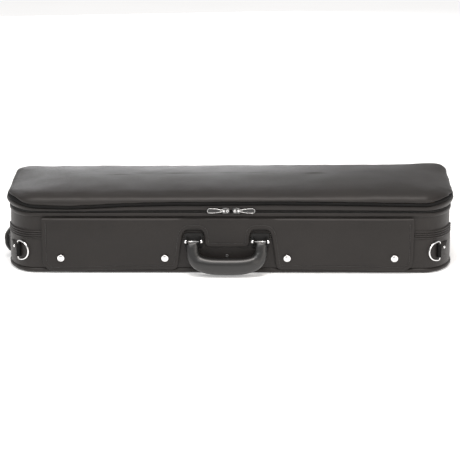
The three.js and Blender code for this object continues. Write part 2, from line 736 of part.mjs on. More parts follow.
// A teardrop tab: narrow at the slider, round at its far end.
function pullShape() {
  const half = PULL.height / 2;
  const shape = new THREE.Shape();
  shape.moveTo(0, -1.4);
  shape.lineTo(4.6, -1.4);
  shape.quadraticCurveTo(PULL.length * 0.5, -half, PULL.length - half, -half);
  shape.absarc(PULL.length - half, 0, half, -Math.PI / 2, Math.PI / 2);
  shape.quadraticCurveTo(PULL.length * 0.5, half, 4.6, 1.4);
  shape.lineTo(0, 1.4);
  return shape;
}

// ---- grab strap on the left end ---------------------------------------------------------------

function addEndHandle() {
  const outer = [
    [0, 55],
    [-2, 55],
    [-4, 47],
    [-10, 41],
    [-12.5, 34],
    [-12, 22],
    [-10, 14],
    [-4, 10.5],
    [0, 10.5],
  ];
  const inner = [
    [0, 13.6],
    [-3, 14],
    [-6.4, 17.6],
    [-8, 23],
    [-8.5, 33],
    [-6.6, 37.6],
    [-2, 42],
    [0, 43.6],
  ];
  const shape = new THREE.Shape([...outer, ...inner].map(([x, z]) => new THREE.Vector2(x, z)));
  const front = GRAB_STRAP.y - GRAB_STRAP.width / 2;
  const strap = upright(shape, front, GRAB_STRAP.width);
  const tie = box([-1.2, front, 13], [0, front + GRAB_STRAP.width, 44]);
  add("end_handle", join(strap, tie), "webbing").position.set(-PLAN.halfX - GAP, 0, 0);
}

addBase();
addInterior();
addLid();
addBowHolders();
addHinges();
addSpine();
addStays();
addFlap();
addHandle();
addRing("left");
addRing("right");
addZips();
addEndHandle();

export default caseGroup;
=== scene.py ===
"""The looks of the oblong violin case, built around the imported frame. Metres, +Z up, front -Y."""
import json
import math

import bmesh
import bpy
import numpy as np
from mathutils import Matrix, Quaternion, Vector, noise

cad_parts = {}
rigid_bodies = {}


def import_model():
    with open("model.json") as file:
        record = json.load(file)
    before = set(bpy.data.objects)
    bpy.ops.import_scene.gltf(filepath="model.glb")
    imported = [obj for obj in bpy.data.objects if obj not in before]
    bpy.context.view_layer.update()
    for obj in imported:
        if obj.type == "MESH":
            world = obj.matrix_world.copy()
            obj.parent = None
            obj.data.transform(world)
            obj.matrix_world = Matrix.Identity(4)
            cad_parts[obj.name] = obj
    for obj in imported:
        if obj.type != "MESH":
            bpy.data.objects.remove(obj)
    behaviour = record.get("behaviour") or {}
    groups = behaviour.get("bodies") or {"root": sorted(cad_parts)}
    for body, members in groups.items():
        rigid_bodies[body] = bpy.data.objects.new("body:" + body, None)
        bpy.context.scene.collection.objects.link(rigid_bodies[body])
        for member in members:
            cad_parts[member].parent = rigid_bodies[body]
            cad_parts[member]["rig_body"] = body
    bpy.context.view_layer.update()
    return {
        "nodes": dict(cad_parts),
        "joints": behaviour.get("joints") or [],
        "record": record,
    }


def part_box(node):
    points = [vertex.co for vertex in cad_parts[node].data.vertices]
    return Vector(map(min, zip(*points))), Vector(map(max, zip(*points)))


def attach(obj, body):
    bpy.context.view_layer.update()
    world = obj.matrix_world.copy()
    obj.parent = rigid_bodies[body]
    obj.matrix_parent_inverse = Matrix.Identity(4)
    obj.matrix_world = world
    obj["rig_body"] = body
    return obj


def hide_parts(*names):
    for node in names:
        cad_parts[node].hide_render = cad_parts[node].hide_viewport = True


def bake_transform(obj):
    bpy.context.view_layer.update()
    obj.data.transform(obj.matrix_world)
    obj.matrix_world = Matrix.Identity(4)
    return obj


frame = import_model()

MM = 0.001

# ---- driving sizes, from the frame ---------------------------------------------------------

HALF_X, HALF_Y, BASE_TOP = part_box("base_cover")[1]
LID_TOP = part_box("lid_cover")[1].z
ZIP_Z = (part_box("zip_track_lower")[1].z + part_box("zip_track_upper")[0].z) / 2
RIM_Z = (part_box("lid_piping")[0].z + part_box("lid_piping")[1].z) / 2
FLAP_LOW, FLAP_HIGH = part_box("front_flap")
HEM_LOW, HEM_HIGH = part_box("pocket_hem")
FRONT_CORNER = (52 * MM, 86 * MM)
BACK_CORNER = (34 * MM, 46 * MM)
DEEP_CORNER = (48 * MM, 70 * MM)
CORNER_STEPS, SHORT_STEPS, LONG_STEPS = 24, 14, 130
JOINTS = {joint["name"]: joint for joint in frame["joints"]}
HANDLE = JOINTS["handle_hinge"]["pos_m"]
PIN_SPREAD = 57 * MM
SIDES = (("left", -1), ("right", 1))

# ---- materials -----------------------------------------------------------------------------


class Paint:
    """Node material builder: a Principled shader with short helpers for procedural detail."""

    def __init__(self, name, rough, metal=0.0, sheen=0.0, specular=0.5, coat=0.0):
        self.material = bpy.data.materials.new(name)
        self.material.use_nodes = True
        self.nodes = self.material.node_tree.nodes
        self.links = self.material.node_tree.links
        self.shader = self.nodes["Principled BSDF"]
        for socket, value in (("Roughness", rough), ("Metallic", metal), ("Sheen Weight", sheen),
                              ("Specular IOR Level", specular), ("Coat Weight", coat)):
            self.shader.inputs[socket].default_value = value
        self.place = self.nodes.new("ShaderNodeTexCoord").outputs["Object"]

    def node(self, kind, **values):
        made = self.nodes.new(kind)
        for key, value in values.items():
            if key in made.inputs:
                made.inputs[key].default_value = value
            else:
                setattr(made, key, value)
        return made

    def noise(self, scale, detail=3.0, stretch=(1, 1, 1)):
        mapping = self.node("ShaderNodeMapping")
        mapping.inputs["Scale"].default_value = stretch
        self.links.new(self.place, mapping.inputs["Vector"])
        made = self.node("ShaderNodeTexNoise", Scale=scale, Detail=detail)
        self.links.new(mapping.outputs[0], made.inputs["Vector"])
        return made.outputs["Fac"]

    def wave(self, scale, axis, distortion=0.0):
        made = self.node("ShaderNodeTexWave", Scale=scale, Distortion=distortion)
        made.bands_direction = axis
        self.links.new(self.place, made.inputs["Vector"])
        return made.outputs["Fac"]

    def math(self, operation, a, b):
        made = self.node("ShaderNodeMath", operation=operation)
        for socket, value in zip(made.inputs, (a, b)):
            if isinstance(value, (int, float)):
                socket.default_value = value
            else:
                self.links.new(value, socket)
        return made.outputs[0]

    def mix(self, a, b, share):
        """The two patterns added together, with b's share of the whole."""
        return self.math("ADD", self.math("MULTIPLY", a, 1 - share), self.math("MULTIPLY", b, share))

    def colour(self, factor, *stops):
        """Base colour by a ramp of (position, colour) stops."""
        made = self.node("ShaderNodeValToRGB")
        elements = made.color_ramp.elements
        while len(elements) < len(stops):
            elements.new(0.5)
        for element, (position, colour) in zip(elements, stops):
            element.position = position
            element.color = (*colour, 1)
        self.links.new(factor, made.inputs["Fac"])
        self.links.new(made.outputs["Color"], self.shader.inputs["Base Color"])

    def rough(self, factor, low, high):
        made = self.node("ShaderNodeMapRange")
        made.inputs["To Min"].default_value = low
        made.inputs["To Max"].default_value = high
        self.links.new(factor, made.inputs["Value"])
        self.links.new(made.outputs[0], self.shader.inputs["Roughness"])

    def bump(self, height, distance, strength=1.0):
        made = self.node("ShaderNodeBump", Strength=strength, Distance=distance)
        self.links.new(height, made.inputs["Height"])
        before = self.shader.inputs["Normal"].links
        if before:
            self.links.new(before[0].from_socket, made.inputs["Normal"])
        self.links.new(made.outputs[0], self.shader.inputs["Normal"])


def grey(value, warm=0.0):
    return (value * (1 + warm), value, value * (1 - warm / 2))


def canvas(name, value, thread, sheen, rough, specular, warm=0.16):
    """Plain-weave nylon: crossing threads on every face, with faded and darker areas."""
    paint = Paint(name, rough[1], sheen=sheen, specular=specular)
    paint.shader.inputs["Sheen Roughness"].default_value = 0.3
    bands = [paint.wave(math.pi / thread / 10, axis) for axis in "XYZ"]
    facing = paint.node("ShaderNodeSeparateXYZ")
    paint.links.new(paint.node("ShaderNodeTexCoord").outputs["Normal"], facing.inputs[0])
    weave = 0.0
    for axis in range(3):
        cross = paint.math("MULTIPLY", bands[(axis + 1) % 3], bands[(axis + 2) % 3])
        share = paint.math("POWER", paint.math("ABSOLUTE", facing.outputs[axis], 0), 3)
        weave = paint.math("ADD", paint.math("MULTIPLY", cross, share), weave)
    slub = paint.noise(900, 2, (1, 1, 0.25))
    cloud = paint.noise(9, 4)
    shades = [(stop, grey(value * share, warm)) for stop, share in ((0.3, 0.78), (0.55, 1), (0.8, 1.3))]
    paint.colour(paint.mix(cloud, slub, 0.3), *shades)
    paint.rough(cloud, *rough)
    paint.bump(weave, 0.12 * MM, 0.5)
    paint.bump(paint.noise(140, 4), 0.25 * MM, 0.6)
    return paint.material


def leatherette(name, value, rough, grain=700, warm=0.02, coat=0.0, specular=0.5):
    """Coated trim: fine pebbled grain, creased a little, shinier where it is rubbed."""
    paint = Paint(name, rough[1], specular=specular, coat=coat)
    paint.shader.inputs["Coat Roughness"].default_value = 0.3
    cells = paint.node("ShaderNodeTexVoronoi", Scale=grain)
    paint.links.new(paint.place, cells.inputs["Vector"])
    worn = paint.noise(40, 4)
    paint.colour(worn, (0.3, grey(value * 0.8, warm)), (0.75, grey(value * 1.35, warm)))
    paint.rough(worn, *rough)
    paint.bump(cells.outputs["Distance"], 0.08 * MM, 0.5)
    paint.bump(paint.noise(120, 5), 0.15 * MM, 0.5)
    return paint.material


def chrome(name, value=0.86, rough=(0.06, 0.16)):
    """Bright plating with faint polishing haze."""
    paint = Paint(name, rough[0], metal=1.0)
    haze = paint.noise(220, 4)
    paint.colour(haze, (0.3, grey(value * 0.94)), (0.7, grey(value)))
    paint.rough(haze, *rough)
    paint.bump(paint.noise(90, 3), 0.02 * MM, 0.4)
    return paint.material


def webbing(name, value, rib=1.2 * MM, axis="Z"):
    """Ribbed woven strap, darker in the grooves between ribs and lighter on their crests: painted shade
    and painted highlight following the rib bumps.
    """
    paint = Paint(name, 0.75, sheen=0.3)
    ribs = paint.wave(math.pi / rib / 10, axis)
    across = paint.noise(600, 3)
    # Colour follows the rib wave: painted shade in the grooves, painted highlight on the crests.
    paint.colour(ribs, (0.1, grey(value * 0.6)), (0.7, grey(value * 1.2)))
    paint.rough(across, 0.6, 0.85)
    paint.bump(ribs, 0.2 * MM, 0.7)
    paint.bump(across, 0.1 * MM, 0.6)
    return paint.material


def velour(name, colour):
    """Plush with a short pile that has been stroked different ways."""
    paint = Paint(name, 0.95, sheen=0.8, specular=0.2)
    paint.shader.inputs["Sheen Roughness"].default_value = 0.35
    paint.shader.inputs["Sheen Tint"].default_value = (*[min(1, c * 6) for c in colour], 1)
    stroked = paint.noise(14, 5)
    pile = paint.noise(1500, 2)
    dark = tuple(c * 0.6 for c in colour)
    light = tuple(c * 1.5 for c in colour)
    paint.colour(paint.mix(stroked, pile, 0.25), (0.3, dark), (0.5, colour), (0.72, light))
    paint.bump(pile, 0.4 * MM, 0.7)
    paint.bump(stroked, 1.0 * MM, 0.3)
    return paint.material


def plywood(name):
    """Thin laminated shell: layered edge bands and long grain."""
    paint = Paint(name, 0.6)
    grain = paint.noise(30, 6, (0.08, 1, 1))
    layers = paint.wave(math.pi / (1.5 * MM) / 10, "DIAGONAL", 1.5)
    woods = (0.25, (0.20, 0.12, 0.06)), (0.55, (0.42, 0.29, 0.17)), (0.8, (0.56, 0.42, 0.27))
    paint.colour(paint.mix(grain, layers, 0.25), *woods)
    paint.rough(grain, 0.5, 0.75)
    paint.bump(grain, 0.15 * MM, 0.6)
    return paint.material


def moulded(name, value, rough=(0.35, 0.5)):
    """Moulded black plastic with a fine spark-eroded texture."""
    paint = Paint(name, rough[0])
    texture = paint.noise(1400, 2)
    cloud = paint.noise(60, 3)
    paint.colour(cloud, (0.3, grey(value * 0.85)), (0.7, grey(value * 1.15)))
    paint.rough(cloud, *rough)
    paint.bump(texture, 0.03 * MM, 0.5)
    return paint.material


LOOKS = {
    "cover_fabric": canvas("cover_canvas", 0.0155, 0.9 * MM, 0.06, (0.42, 0.54), 0.3),
    "flap_fabric": canvas("flap_canvas", 0.014, 0.9 * MM, 0.05, (0.44, 0.56), 0.3),
    # The trim is near black, far darker than the cover; on the rim piping this is partly a black trim
    # and partly painted shade of the seam groove.
    "piping_trim": leatherette("piping_leatherette", 0.006, (0.6, 0.75), specular=0.12),
    "zip_tape": canvas("zip_tape_weave", 0.008, 0.6 * MM, 0.02, (0.7, 0.85), 0.15),
    "plywood": plywood("laminated_plywood"),
    "plush": velour("green_velour", (0.016, 0.065, 0.042)),
    "webbing": webbing("ribbed_webbing", 0.02),
    "grip_plastic": leatherette("grip_leather", 0.007, (0.34, 0.44), grain=900, coat=0.3),
    "black_plastic": moulded("black_moulding", 0.018),
    "chrome_hardware": chrome("bright_chrome"),
}
COIL = moulded("zip_coil_nylon", 0.006, (0.55, 0.7))
SOFT_METAL = chrome("satin_nickel", 0.5, (0.18, 0.3))
DULL_METAL = chrome("dull_nickel", 0.16, (0.3, 0.42))
# Near-black lining for the bracket slots: painted shade of the recess.
SLOT_SHADE_PAINT = moulded("slot_shadow", 0.004, (0.8, 0.95))
THREAD = webbing("sewing_thread", 0.03, 0.5 * MM, "X")

# ---- mesh helpers --------------------------------------------------------------------------


def curve(points, count):
    """A smooth curve through the points, resampled evenly by index."""
    known = np.array(points, float)
    known = np.vstack([2 * known[0] - known[1], known, 2 * known[-1] - known[-2]])
    where = np.linspace(0, len(points) - 1, count)
    first = np.minimum(where.astype(int), len(points) - 2)
    f = (where - first)[:, None]
    a, b, c, d = known[first], known[first + 1], known[first + 2], known[first + 3]
    bend = (2 * a - 5 * b + 4 * c - d) * f**2
    return 0.5 * (2 * b + (c - a) * f + bend + (3 * b - a - 3 * c + d) * f**3)


def running(path):
    """How far along a path each of its points is."""
    return np.concatenate([[0], np.cumsum(np.linalg.norm(np.diff(path, axis=0), axis=1))])


def run_length(path):
    return float(running(path)[-1])


def along_path(where, run, path):
    """The points of a path at the given distances along it."""
    return np.column_stack([np.interp(where, run, column) for column in path.T])


def directions(path):
    """The unit direction of a path at each of its points."""
    along = np.gradient(path, axis=0)
    return along / np.maximum(np.linalg.norm(along, axis=1, keepdims=True), 1e-9)


def around(count, shift=0.0):
    """Even turns round a circle."""
    return (np.arange(count) + shift) / count * 2 * math.pi


def squared(wave, power):
    """A sine or cosine flattened towards a square wave."""
    return np.sign(wave) * np.abs(wave) ** power


def added(name, data):
    made = bpy.data.objects.new(name, data)
    bpy.context.scene.collection.objects.link(made)
    return made


def piece(name, shape, body, slot, replaces=(), material=None):
    """A new mesh object of (vertices, faces) that rides on a body, with its finish."""
    mesh = bpy.data.meshes.new(name)
    vertices, faces = shape
    mesh.from_pydata([tuple(v) for v in vertices], [], [tuple(f) for f in faces])
    return dress(added(name, mesh), body, slot, replaces, material)


def dress(made, body, slot, replaces=(), material=None):
    mesh = made.data
    bm = bmesh.new()
    bm.from_mesh(mesh)
    bmesh.ops.remove_doubles(bm, verts=bm.verts, dist=1e-6)
    bmesh.ops.recalc_face_normals(bm, faces=bm.faces)
    bm.to_mesh(mesh)
    bm.free()
    mesh.polygons.foreach_set("use_smooth", [True] * len(mesh.polygons))
    mesh.materials.clear()
    mesh.materials.append(material or LOOKS[slot])
    if body:
        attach(made, body)
    if replaces:
        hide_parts(*replaces)
    return made


def grid_faces(rows, columns, wrap_rows=False, wrap_columns=True):
    """Quads over a grid of points numbered row by row."""
    faces = []
    for row in range(rows if wrap_rows else rows - 1):
        below = (row + 1) % rows
        for column in range(columns if wrap_columns else columns - 1):
            right = (column + 1) % columns
            upper, lower = row * columns, below * columns
            faces.append((upper + column, upper + right, lower + right, lower + column))
    return faces


def loft(rows, wrap_rows=False, start_cap=True, end_cap=True):
    """Vertices and faces through rows of closed loops, with flat ends unless the rows join up."""
    rows = np.array(rows, float)
    count, size = rows.shape[:2]
    faces = grid_faces(count, size, wrap_rows)
    if start_cap and not wrap_rows:
        faces.append(tuple(range(size)))
    if end_cap and not wrap_rows:
        faces.append(tuple(range((count - 1) * size, count * size)))
    return rows.reshape(-1, 3), faces


def ripple(points, scale, seed):
    """Smooth noise from -1 to 1 at each point; scale is the size of a ripple along X, Y and Z."""
    scaled = np.asarray(points) / np.asarray(scale) + seed
    return np.array([noise.noise(Vector(p)) for p in scaled.reshape(-1, 3)]).reshape(scaled.shape[:-1])


def grid_normals(grid, wrap_rows=False):
    """Unit normals over a grid whose columns close into loops."""
    along = np.roll(grid, -1, axis=1) - np.roll(grid, 1, axis=1)
    if wrap_rows:
        down = np.roll(grid, -1, axis=0) - np.roll(grid, 1, axis=0)
    else:
        down = np.gradient(grid, axis=0)
    normal = np.cross(along, down)
    length = np.linalg.norm(normal, axis=2, keepdims=True)
    return normal / np.maximum(length, 1e-9)


def outline(offset):
    """The case's plan, grown outwards: from the back left corner round the left end, front and right."""
    half = np.array([HALF_X, HALF_Y]) + offset
    corners = []
    for quarter in range(4):
        deep = min(max(-offset / (95 * MM) - 0.1, 0), 1)
        corner = BACK_CORNER if quarter in (0, 3) else FRONT_CORNER
        radius = np.array(corner) * (1 - deep) + np.array(DEEP_CORNER) * deep + max(offset, -15 * MM)
        radius_x, radius_y = np.minimum(radius, 0.82 * half)
        turn = (quarter + np.linspace(0, 1, CORNER_STEPS + 1)) * math.pi / 2
        side = np.array([-1 if quarter < 2 else 1, 1 if quarter in (0, 3) else -1])
        centre = side * (half - [radius_x, radius_y])
        arc = np.column_stack([-radius_x * np.sin(turn), radius_y * np.cos(turn)])
        corners.append(centre + arc)
    points = []
    for quarter, steps in enumerate((SHORT_STEPS, LONG_STEPS, SHORT_STEPS, LONG_STEPS)):
        start, end = corners[quarter][-1], corners[(quarter + 1) % 4][0]
        share = np.arange(1, steps)[:, None] / steps
        points += [corners[quarter], start + share * (end - start)]
    return np.concatenate(points)


OUTLINE_COUNT = len(outline(0))
# Where the front band starts and stops: the back end of each back corner.
BAND = (1, OUTLINE_COUNT - LONG_STEPS - 1)


def rings(stations):
    """The outline at each station's (offset, z), in millimetres."""
    return np.array([np.insert(outline(offset * MM), 2, z * MM, axis=1) for offset, z in stations])


def close_middle(loop):
    """Bring the front and back of a loop together along the middle, point to point."""
    partner = (2 * CORNER_STEPS + SHORT_STEPS - np.arange(OUTLINE_COUNT)) % OUTLINE_COUNT
    loop[:, 0] = (loop[:, 0] + loop[partner, 0]) / 2
    loop[:, 1] = 0


def rim_lift(points):
    """The rim seam isn't quite level: how far it wanders up and down, fading away from the seam."""
    points = np.asarray(points)
    along = points[..., 0] / HALF_X
    crest = 3.4 * MM * np.exp(-((along - 0.2) / 0.55) ** 2)
    droop = 5 * MM * np.exp(-((along + 0.72) / 0.19) ** 2)
    wander = crest - droop + (0.7 * MM * ripple(points * [1, 1, 0], 60 * MM, 9.1) - 0.8 * MM)
    return wander * np.exp(-((points[..., 2] - RIM_Z) / (9 * MM)) ** 2)


def eased(value):
    value = np.clip(value, 0, 1)
    return value * value * (3 - 2 * value)


def lifted(grid):
    """The rim's wander, and the ends' fullness: the seam rides up and the gusset swells out below it."""
    grid = grid.copy()
    side = np.sign(grid[..., 0])
    ends = eased((np.abs(grid[..., 0]) - HALF_X + 48 * MM) / (42 * MM))
    above = grid[..., 2] - RIM_Z
    seam = ends * np.exp(-(above / (8 * MM)) ** 2)
    front = 1 - eased((grid[..., 1] + 5 * MM) / (75 * MM))
    tucked = ends * np.exp(-(above / np.where(above > 0, 12 * MM, 8 * MM)) ** 2) * front
    gusset = ends * np.exp(-((above + 4.6 * MM) / (4.4 * MM)) ** 2)
    grid[..., 2] += rim_lift(grid) + 5.5 * MM * seam
    grid[..., 0] += side * ((4.9 - 0.5 * side) * gusset - (2.8 - 0.3 * side) * tucked) * MM
    return grid


def heights_of(node):
    """A node's bottom and top, in millimetres."""
    return [corner.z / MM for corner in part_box(node)]


def round_section(offset, z, radius, sides=14):
    turn = around(sides, 0.5)
    return np.column_stack([offset + radius * np.cos(turn), z + radius * np.sin(turn)])


# ---- the padded lid ------------------------------------------------------------------------


def make_lid_cover():
    top = LID_TOP / MM
    crown = [(-122.9, 1.1), (-104, 0.9), (-80, -0.2), (-50, -2.6), (-24, -6)]
    shoulder = [(-8, -9.8), (0.5, -13.4), (4.3, -17.5), (4.9, -20.6), (3.4, -22.6)]
    outer = curve([(offset, top + drop) for offset, drop in crown + shoulder], 56)
    inner = [(-0.7, 124.4), (-0.7, 128.6), (-4, 132), (-10, 134.2)]
    inner += [(-24, 137.2), (-52, 140.6), (-88, 143)]
    grid = rings(outer)
    normals = grid_normals(grid)
    close_middle(grid[0])
    normals[0] = (0, 0, 1)
    depth = (4.9 - outer[:, 0])[:, None] * MM
    rim = np.exp(-depth / (13 * MM))
    along = grid[..., 0] / HALF_X
    corner = 1 + 1.6 * np.clip((np.abs(along) - 0.86) / 0.14, 0, 1)
    stuffing = (3.2 * along + 0.6) * MM * (1 - rim)
    ears = np.zeros(grid.shape)
    for side, lift in ((-1, 9.5), (1, 12)):
        from_end = (grid[..., 0] - side * HALF_X) / (34 * MM)
        from_back = (grid[..., 1] - HALF_Y + 12 * MM) / (62 * MM)
        near = lift * MM * np.exp(-np.hypot(from_end, from_back) ** 2) * (1 - np.exp(-depth / (5 * MM)))
        ears += near[..., None] * [0.85 * side, 0.2, 0.3]
    flat = grid * [1, 1, 0]
    puckers = 0.75 * MM * rim * corner * ripple(flat, 17 * MM, 1.3)
    swell = 1.3 * MM * (1 - rim) * ripple(flat, [170 * MM, 80 * MM, 1], 5.9)
    creases = 0.55 * MM * (1 - rim) * ripple(flat, [34 * MM, 52 * MM, 1], 8.2)
    pulled = 0.5 * MM * np.exp(-((depth - 30 * MM) / (25 * MM)) ** 2)
    drag = pulled * corner * ripple(flat, [22 * MM, 60 * MM, 1], 2.4)
    grid += normals * (puckers + swell + creases + drag)[..., None]
    grid += ears
    grid[..., 2] += stuffing
    grid = np.concatenate([grid, rings(inner)])
    shape = loft(lifted(grid), start_cap=False)
    made = piece("lid_cover_fabric", shape, "lid", "cover_fabric", ["lid_cover"])


def band(name, section, body, slot, replaces, wrinkle=None, span=None):
    """A band with a closed section of (offset, z) in millimetres.

    It goes all the way round, or over a span of the outline. A wrinkle is (height, size, seed).
    """
    grid = rings(section)
    if wrinkle:
        height, size, seed = wrinkle
        grid += grid_normals(grid, True) * (height * MM * ripple(grid, size * MM, seed))[..., None]
    grid = lifted(grid)
    rows = grid[:, slice(*span)].transpose(1, 0, 2) if span else grid
    return piece(name, loft(rows, wrap_rows=not span), body, slot, replaces)


def make_rim():
    piping = round_section(3, RIM_Z / MM, 2.5)
    # The rim piping is near black: partly a black trim, partly painted shade of the seam under the lid's
    # overhang.
    band("rim_piping", piping, "lid", "piping_trim", ["lid_piping"], (0.12, 6, 2.0))
    low, high = heights_of("lid_gusset")
    outer = [(1.9, low - 1.1), (2.9, low - 0.5), (3.6, low + 2.4), (3.2, high - 2), (1.2, high + 0.2)]
    outer = curve(outer, 10)
    section = [*outer, (-0.6, high), (-0.6, low)]
    made = band("gusset_band", section, "lid", "cover_fabric", ["lid_gusset"], (0.3, 16, 6.0))
    run_length(outline(0))


# ---- zip -----------------------------------------------------------------------------------


def make_zip():
    zip_mm = ZIP_Z / MM
    for level, body, side, gap, far in (
        ("lower", "base", -1, 2.1, heights_of("zip_track_lower")[0]),
        ("upper", "lid", 1, 2.2, heights_of("zip_track_upper")[1]),
    ):
        edge = zip_mm + side * gap
        lip = -side * min(abs(edge - far) * 0.2, 1.2)
        outer = [(0.4, far), (1.6, far + lip), (2.3, (edge + far) / 2), (2.0, edge - lip), (1.0, edge)]
        section = [*curve(outer, 9), (0.3, edge), (0.3, far)]
        node = "zip_track_" + level
        band("zip_tape_" + level, section, body, "cover_fabric", [node], (0.15, 20, 4.4), BAND)
        inner = zip_mm + side * 0.2
        section = [(0.05, inner), (0.7, inner), (0.7, edge), (0.05, edge)]
        band(f"zip_tape_{level}_weave", section, body, "zip_tape", [], span=BAND)
    make_teeth()


def make_teeth():
    """The zip's coil: one turn every 1.6 mm on each side, meshed like the real one."""
    pitch = 1.6 * MM
    path = outline(1.5 * MM)[slice(*BAND)]
    run = running(path)
    profile = [(-0.5, -0.6), (-0.38, -0.2), (0.0, 0.1), (0.38, -0.2), (0.5, -0.6)]
    for name, body, side in (("zip_coil_lower", "base", -1), ("zip_coil_upper", "lid", 1)):
        where = np.arange(pitch, run[-1] - pitch, pitch) + (side * pitch / 4)
        place = along_path(where, run, path)
        ahead = along_path(where + MM, run, path) - place
        ahead /= np.linalg.norm(ahead, axis=1, keepdims=True)
        vertices, faces = [], []
        for point, (ahead_x, ahead_y) in zip(place, ahead):
            first = len(vertices)
            for height in (-0.3, 1.5):
                z = ZIP_Z + side * height * MM
                for along, out in profile:
                    flat = point + np.array([ahead_x, ahead_y]) * along * MM
                    flat = flat + np.array([ahead_y, -ahead_x]) * (out - 0.2) * MM
                    vertices.append((*flat, z))
            faces += [(first + i, first + i + 1, first + i + 6, first + i + 5) for i in range(4)]
            faces += [(first + 4, first, first + 5, first + 9)]
            faces += [tuple(start + i for i in range(5)) for start in (first, first + 5)]
        piece(name, (vertices, faces), body, "zip_tape", material=COIL)


# ---- base cover, bottom roll and pocket ------------------------------------------------------


def make_base_cover():
    top = BASE_TOP / MM
    bottom = [(-121, 0.35), (-90, 0.3), (-40, 0.15), (-14, 0), (-6.5, 0), (-4.2, 1.2), (-3.6, 6.6)]
    side = [(-0.6, 9.2), (0.25, 16), (0.4, 40), (0.4, 70), (0.2, 92), (0, top - 1.2), (-1.2, top)]
    inner = [(-3, top), (-3, 14), (-10, 3)]
    grid = rings([*curve(bottom, 16), *curve(side, 30)])
    normals = grid_normals(grid)
    above = np.clip((grid[..., 2] - 12 * MM) / (20 * MM), 0, 1)
    share = above * np.clip((BASE_TOP - grid[..., 2]) / (12 * MM), 0, 1)
    waves = 0.7 * MM * ripple(grid, [70 * MM, 60 * MM, 55 * MM], 2.2)
    waves = share * (waves + 0.3 * MM * ripple(grid, [22 * MM, 22 * MM, 30 * MM], 7.7))
    outward = np.sign((normals[..., :2] * grid[..., :2]).sum(axis=-1))
    grid += normals * waves[..., None] * outward[..., None]
    close_middle(grid[0])
    shape = loft(np.concatenate([grid, rings(inner)]), start_cap=False)
    made = piece("base_cover_fabric", shape, "base", "cover_fabric", ["base_cover"])


def make_bottom_roll():
    """The rolled lower edge, creased slantwise where it is pulled round the corners."""
    sides = 16
    flat = outline(-0.6 * MM)
    grid = rings(round_section(-0.4, 5.0, 4.0, sides))
    corner = 0.35 + np.clip((np.abs(flat[:, 0]) / HALF_X - 0.84) / 0.14, 0, 1)
    wander = 2.2 * ripple(np.column_stack([flat, flat[:, 0]]), 60 * MM, 1.1)
    slant = np.sin(running(flat) / (4.2 * MM) + 1.3 * around(sides, 0.5)[:, None] + wander)
    height = 0.22 * MM * corner * slant + 0.4 * MM * ripple(grid, 35 * MM, 5.0)
    grid += grid_normals(grid, True) * height[..., None]
    grid[..., 2] = np.maximum(grid[..., 2], 0.4 * MM)
    shape = loft(grid, wrap_rows=True)
    made = piece("bottom_roll", shape, "base", "cover_fabric", ["base_piping"])


def make_pocket():
    """The front pocket's panel, from just behind one front corner to the other, and its pleats."""
    margin = CORNER_STEPS // 7
    span = (
        CORNER_STEPS + SHORT_STEPS + margin,
        3 * CORNER_STEPS + SHORT_STEPS + LONG_STEPS - margin,
    )
    low, hem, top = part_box("front_pocket")[0].z / MM, HEM_LOW.z / MM, HEM_HIGH.z / MM
    outer = [(0.6, low), (2.0, low + 2.5), (2.4, (low + hem) / 2), (2.2, hem - 1.5), (1.9, hem + 1)]
    outer = curve(outer, 14)
    section = [*outer, (0.35, hem), (0.35, low)]
    length = run_length(outline(0)[slice(*span)])
    node = ["front_pocket"]
    made = band("pocket_panel", section, "base", "cover_fabric", node, (0.35, 45, 4.4), span)
    pleats = 4
    share = np.linspace(0, 1, 8 * pleats + 1)
    fold = np.abs(np.sin(share * pleats * math.pi)) ** 0.5
    folds = np.column_stack([0.8 + 2.4 * fold, hem + (top - hem) * share])
    section = [*folds, (0.35, top), (0.35, hem)]
    node = ["pocket_hem"]
    made = band("pocket_pleats", section, "base", "cover_fabric", node, (0.25, 30, 4.4), span)


# ---- front flap ----------------------------------------------------------------------------

HEM_WIDTH = 7 * MM
FLAP_DIP = 1.9 * MM
ARCH, ARCH_TOP, TONGUE, FLARE = 18 * MM, 79 * MM, 47 * MM, 85 * MM


def softened_corners(corners, step):
    """A path through corners of (x, z, radius), rounded by arcs and sampled every step."""
    points = [np.array(corners[0][:2])]
    for before, (x, z, radius), after in zip(corners, corners[1:], corners[2:]):
        here = np.array([x, z])
        to_before = np.array(before[:2]) - here
        to_after = np.array(after[:2]) - here
        start = here + to_before / np.linalg.norm(to_before) * radius
        end = here + to_after / np.linalg.norm(to_after) * radius
        share = np.linspace(0, 1, 9)[:, None]
        bend = (1 - share) ** 2 * start + 2 * share * (1 - share) * here + share**2 * end
        points += list(bend)
    points.append(np.array(corners[-1][:2]))
    points = np.array(points)
    run = running(points)
    return along_path(np.linspace(0, run[-1], int(run[-1] / step)), run, points)


def flap_edge(step):
    """The flap's free edge from its top left to its top right, in X and Z."""
    first, last, top, low = FLAP_LOW.x, FLAP_HIGH.x, FLAP_HIGH.z, FLAP_LOW.z
    middle, foot = HANDLE[0], low + FLAP_DIP
    left, right = middle - PIN_SPREAD, middle + PIN_SPREAD
    slot = ARCH + 0.6 * MM
    corners = [
        (first, top, 0),
        (first + 0.8 * MM, low - FLAP_DIP, 24 * MM),
        (first / 2, foot, 60 * MM),
        (middle - FLARE, foot, 10 * MM),
        (left - ARCH, ARCH_TOP, 13 * MM),
        (left + ARCH, ARCH_TOP, 13 * MM),
        (left + slot, TONGUE, 10 * MM),
        (right - slot, TONGUE, 10 * MM),
        (right - ARCH, ARCH_TOP, 13 * MM),
        (right + ARCH, ARCH_TOP, 13 * MM),
        (middle + FLARE, foot, 10 * MM),
        (last / 2, foot, 60 * MM),
        (last - 0.8 * MM, low - FLAP_DIP / 2, 24 * MM),
        (last, top, 0),
    ]
    return softened_corners(corners, step)


